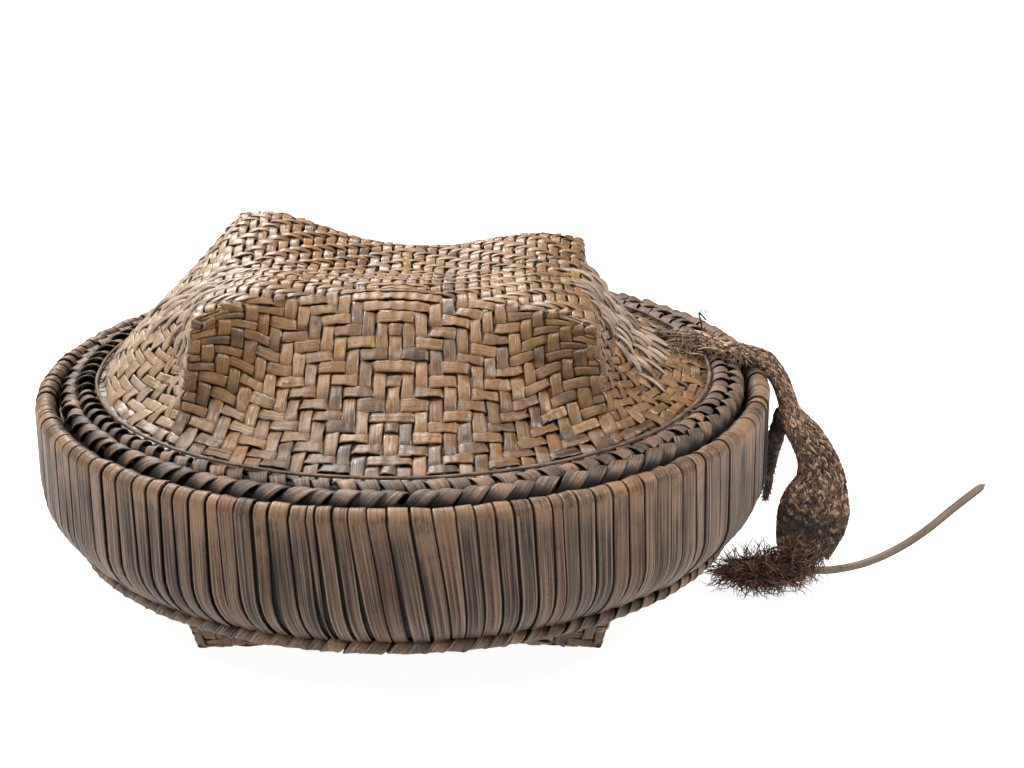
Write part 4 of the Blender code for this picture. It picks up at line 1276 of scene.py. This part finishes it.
def border_loops(name, count, ring, turns, shifts, swells, half_widths, lean, body_shape, material,
                 *nodes):
    """Strips looped one after another over a ring, each lying partly on the next."""
    centre_radius, centre_height, half_across, half_high = ring
    steps = 14
    share = np.linspace(0, 1, steps)
    turn = np.radians(np.interp(share, np.linspace(0, 1, len(turns)), turns))
    shift = np.interp(share, np.linspace(0, 1, len(shifts)), shifts)
    swell = np.interp(share, np.linspace(0, 1, len(swells)), swells)
    half = np.interp(share, np.linspace(0, 1, len(half_widths)), half_widths)
    pitch = 2 * math.pi / count
    start = np.arange(count) * pitch + chance.normal(0, pitch * .07, count)
    angle = start[:, None] + shift * pitch * chance.uniform(.85, 1.15, (count, 1))
    grow = swell * chance.uniform(.94, 1.06, (count, 1))
    radius = centre_radius + np.cos(turn) * half_across * grow
    height = centre_height + np.sin(turn) * half_high * grow
    centres = np.stack([radius * np.cos(angle), radius * np.sin(angle), height], -1)
    out = np.stack([np.cos(turn) * np.cos(angle), np.cos(turn) * np.sin(angle),
                    np.sin(turn) + np.zeros(angle.shape)], -1)
    around = np.stack([-np.sin(angle), np.cos(angle), np.zeros(angle.shape)], -1)
    tilt = (lean[0] + lean[1] * np.cos(start))[:, None, None] + chance.normal(0, .05, (count, 1, 1))
    out = unit(out + around * tilt)
    # Painted shade: each loop darkens at its ends, where it goes under its neighbours, and on its low outer
    # part.
    shown = np.clip(np.sin(math.pi * share) * 1.6, 0, 1) * ease((np.degrees(turn) - 10) / 50)
    marks = {"tone": chance.random(count), "rise": np.broadcast_to(shown, (count, steps))}
    piece = strip_mesh(name, centres, out,
                       half * chance.uniform(.88, 1.08, (count, 1)), body_shape[0], False, marks,
                       body_shape[1])
    dress(piece, material, "lid", "border_cane", *nodes)


border_loops("rope_border_loops", 100, ROPE_BORDER, (215, 160, 95, 30, -30), (-.30, -.15, .1, .35, .5),
             (.9, 1.1, 1.2, 1.15, .95), (.0034, .0037, .0037, .0031, .0020), (-.12, .24),
             (.0009, STRIP_SECTION), rope_cane, "lid_rope_border")
border_loops("braid_border_folds", 94, (BRAID_BORDER[0] - .0004, BRAID_BORDER[1] + .0014, .0029, .0039),
             (-75, -20, 35, 90, 140, 180), (0, .3, .8, 1.3, 1.7, 1.9), (.85, 1.1, 1.2, 1.16, .95, .7),
             (.0006, .0026, .0037, .0034, .0020, .0006), (-.05, .24), (.0011, LEAF_SECTION),
             border_cane, "lid_braid_border")

# The hoop's core and the lid's rim hoop take the near-black core material: painted shade seen between the
# strips over them.
for label, finish in (("base_seat_ring", ring_cane), ("lid_rim_hoop", core_cane),
                      ("hoop_core", core_cane)):
    node_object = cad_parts[label]
    node_object.data.materials.clear()
    node_object.data.materials.append(finish)


# Knot and loose fibres

def make_knot():
    """Loops of fibre that tie the strap to the lid."""
    along, down = KNOT_PLACE_SHARES
    a = np.array([along])
    seat = lid_flank(1, a, np.array([down * LID_SLOPE_SHARE]))[0]
    aside = unit(lid_flank(1, a + .01, np.array([down * LID_SLOPE_SHARE]))[0] - seat)
    below = unit(lid_flank(1, a, np.array([down * LID_SLOPE_SHARE + .01]))[0] - seat)
    face = unit(np.cross(below, aside))
    face = face * np.sign(face[2])
    centre = (seat + face * .0012 + np.array(STRAP_ROUTE[0])) / 2
    count, steps = 7, 24
    turn = np.linspace(0, 2 * math.pi, steps, endpoint=False)
    lines, outs = [], []
    for k in range(count):
        tip = chance.normal(0, .35)
        first = unit(aside * math.cos(tip) + below * math.sin(tip))
        shift = below * chance.uniform(-.0030, .0030) + aside * chance.uniform(-.003, .003)
        wide, high = chance.uniform(.0022, .0036), chance.uniform(.0010, .0016)
        out = first[None] * (np.cos(turn) * wide)[:, None] + face[None] * (np.sin(turn) * high)[:, None]
        lines.append(centre + shift + out)
        outs.append(unit(out))
    # Rise below one: the loops are laid in painted shade.
    marks = {"tone": chance.random(count) * .5, "rise": np.ones(count) * .6}
    piece = strip_mesh("strap_knot_loops", np.array(lines), np.array(outs), .0016, .0012, True,
                       marks)
    dress(piece, strap_fibre, "lid", "braided_fibre", "strap_lashing")
    return centre, face, aside, below


knot = make_knot()


def make_knot_strands():
    """Bundles of fibre that fan out from the strap's start over the slope of the lid."""
    centre, face, aside, below = knot
    count = len(STRAND_SPREADS)
    spread = np.array(STRAND_SPREADS)[:, None]
    first = centre - face * .0012 + below * spread[:, :1] - aside * np.array(STRAND_REACHES)[:, None]
    last = along_route(STRAP_ROUTE[:5], 60)[26:26 + count] + below * spread * .35 + face * .0004
    middle = (first + last) / 2 + face * .0022 + chance.normal(0, .0005, (count, 3))
    t = np.linspace(0, 1, 14)[None, :, None]
    centres = first[:, None] * (1 - t) ** 2 + middle[:, None] * 2 * t * (1 - t) + last[:, None] * t ** 2
    half = .0011 * np.sin(math.pi * np.linspace(.10, .80, 14)) * chance.uniform(.7, 1.2, (count, 1))
    # Rise below one: light painted shade on the strands.
    marks = {"tone": chance.uniform(.15, .75, count), "rise": np.ones(count) * .8}
    piece = strip_mesh("strap_knot_strands", centres, face[None, None] + np.zeros(centres.shape), half,
                       half * 1.3, False, marks, LEAF_SECTION)
    dress(piece, strap_fibre, "lid", "braided_fibre")


make_knot_strands()


def make_knot_threads():
    """Torn straw threads and dark fibres round the knot and under the strap."""
    centre, face, aside, below = knot
    count = 110
    start = centre + (.005, -.0105, -.0030) + chance.normal(size=(count, 3)) * (.006, .003, .0010)
    way = unit(chance.normal(size=(count, 3)) * (1, .5, .3) + (.6, -.2, -.1))
    length = chance.uniform(.004, .011, count)[:, None]
    middle = start + way * length * .5 + (0, 0, .0015)
    end = start + way * length + chance.normal(size=(count, 3)) * .002
    end[:, 2] = np.maximum(end[:, 2], .0935)
    hairs("knot_straw_threads", start, middle, end, .00022, straw_fibre, "lid", "braided_fibre")
    count = 220
    spot = along_route(STRAP_ROUTE[:5], 60)[chance.integers(4, 50, count)]
    start = spot + chance.normal(size=(count, 3)) * (.002, .002, .0012)
    end = start + np.stack([chance.normal(.000, .005, count), chance.normal(-.008, .004, count),
                            chance.uniform(-.0060, -.001, count)], 1)
    end[:, 2] = np.maximum(end[:, 2], .0915)
    middle = (start + end) / 2 + (0, -.001, .0015)
    hairs("knot_dark_threads", start, middle, end, .00022, straw_fibre, "lid", "braided_fibre",
          chance.random(count) * .45)


make_knot_threads()


HOOK_FIBRE = ((.1284, .0300, .0922), (.1280, .0300, .0961), (.1269, .0300, .1020),
              (.1259, .0300, .1061), (.1274, .0300, .1049), (.1290, .0300, .1029))
HOOK_CURL = ((.1259, .0300, .1061), (.1276, .0300, .1075), (.1298, .0300, .1066))
for name, route, radius in (("knot_hook_fibre", HOOK_FIBRE, .00042),
                            ("knot_hook_curl", HOOK_CURL, .00022)):
    line = along_route(np.array(route), 25)[None]
    piece = strip_mesh(name, line, np.array([0, -1, .3]) + np.zeros(line.shape), radius, radius * 1.6,
                       False, {"tone": np.array([.35]), "rise": np.ones(1)}, LEAF_SECTION)
    dress(piece, dark_fibre, "lid", "braided_fibre")

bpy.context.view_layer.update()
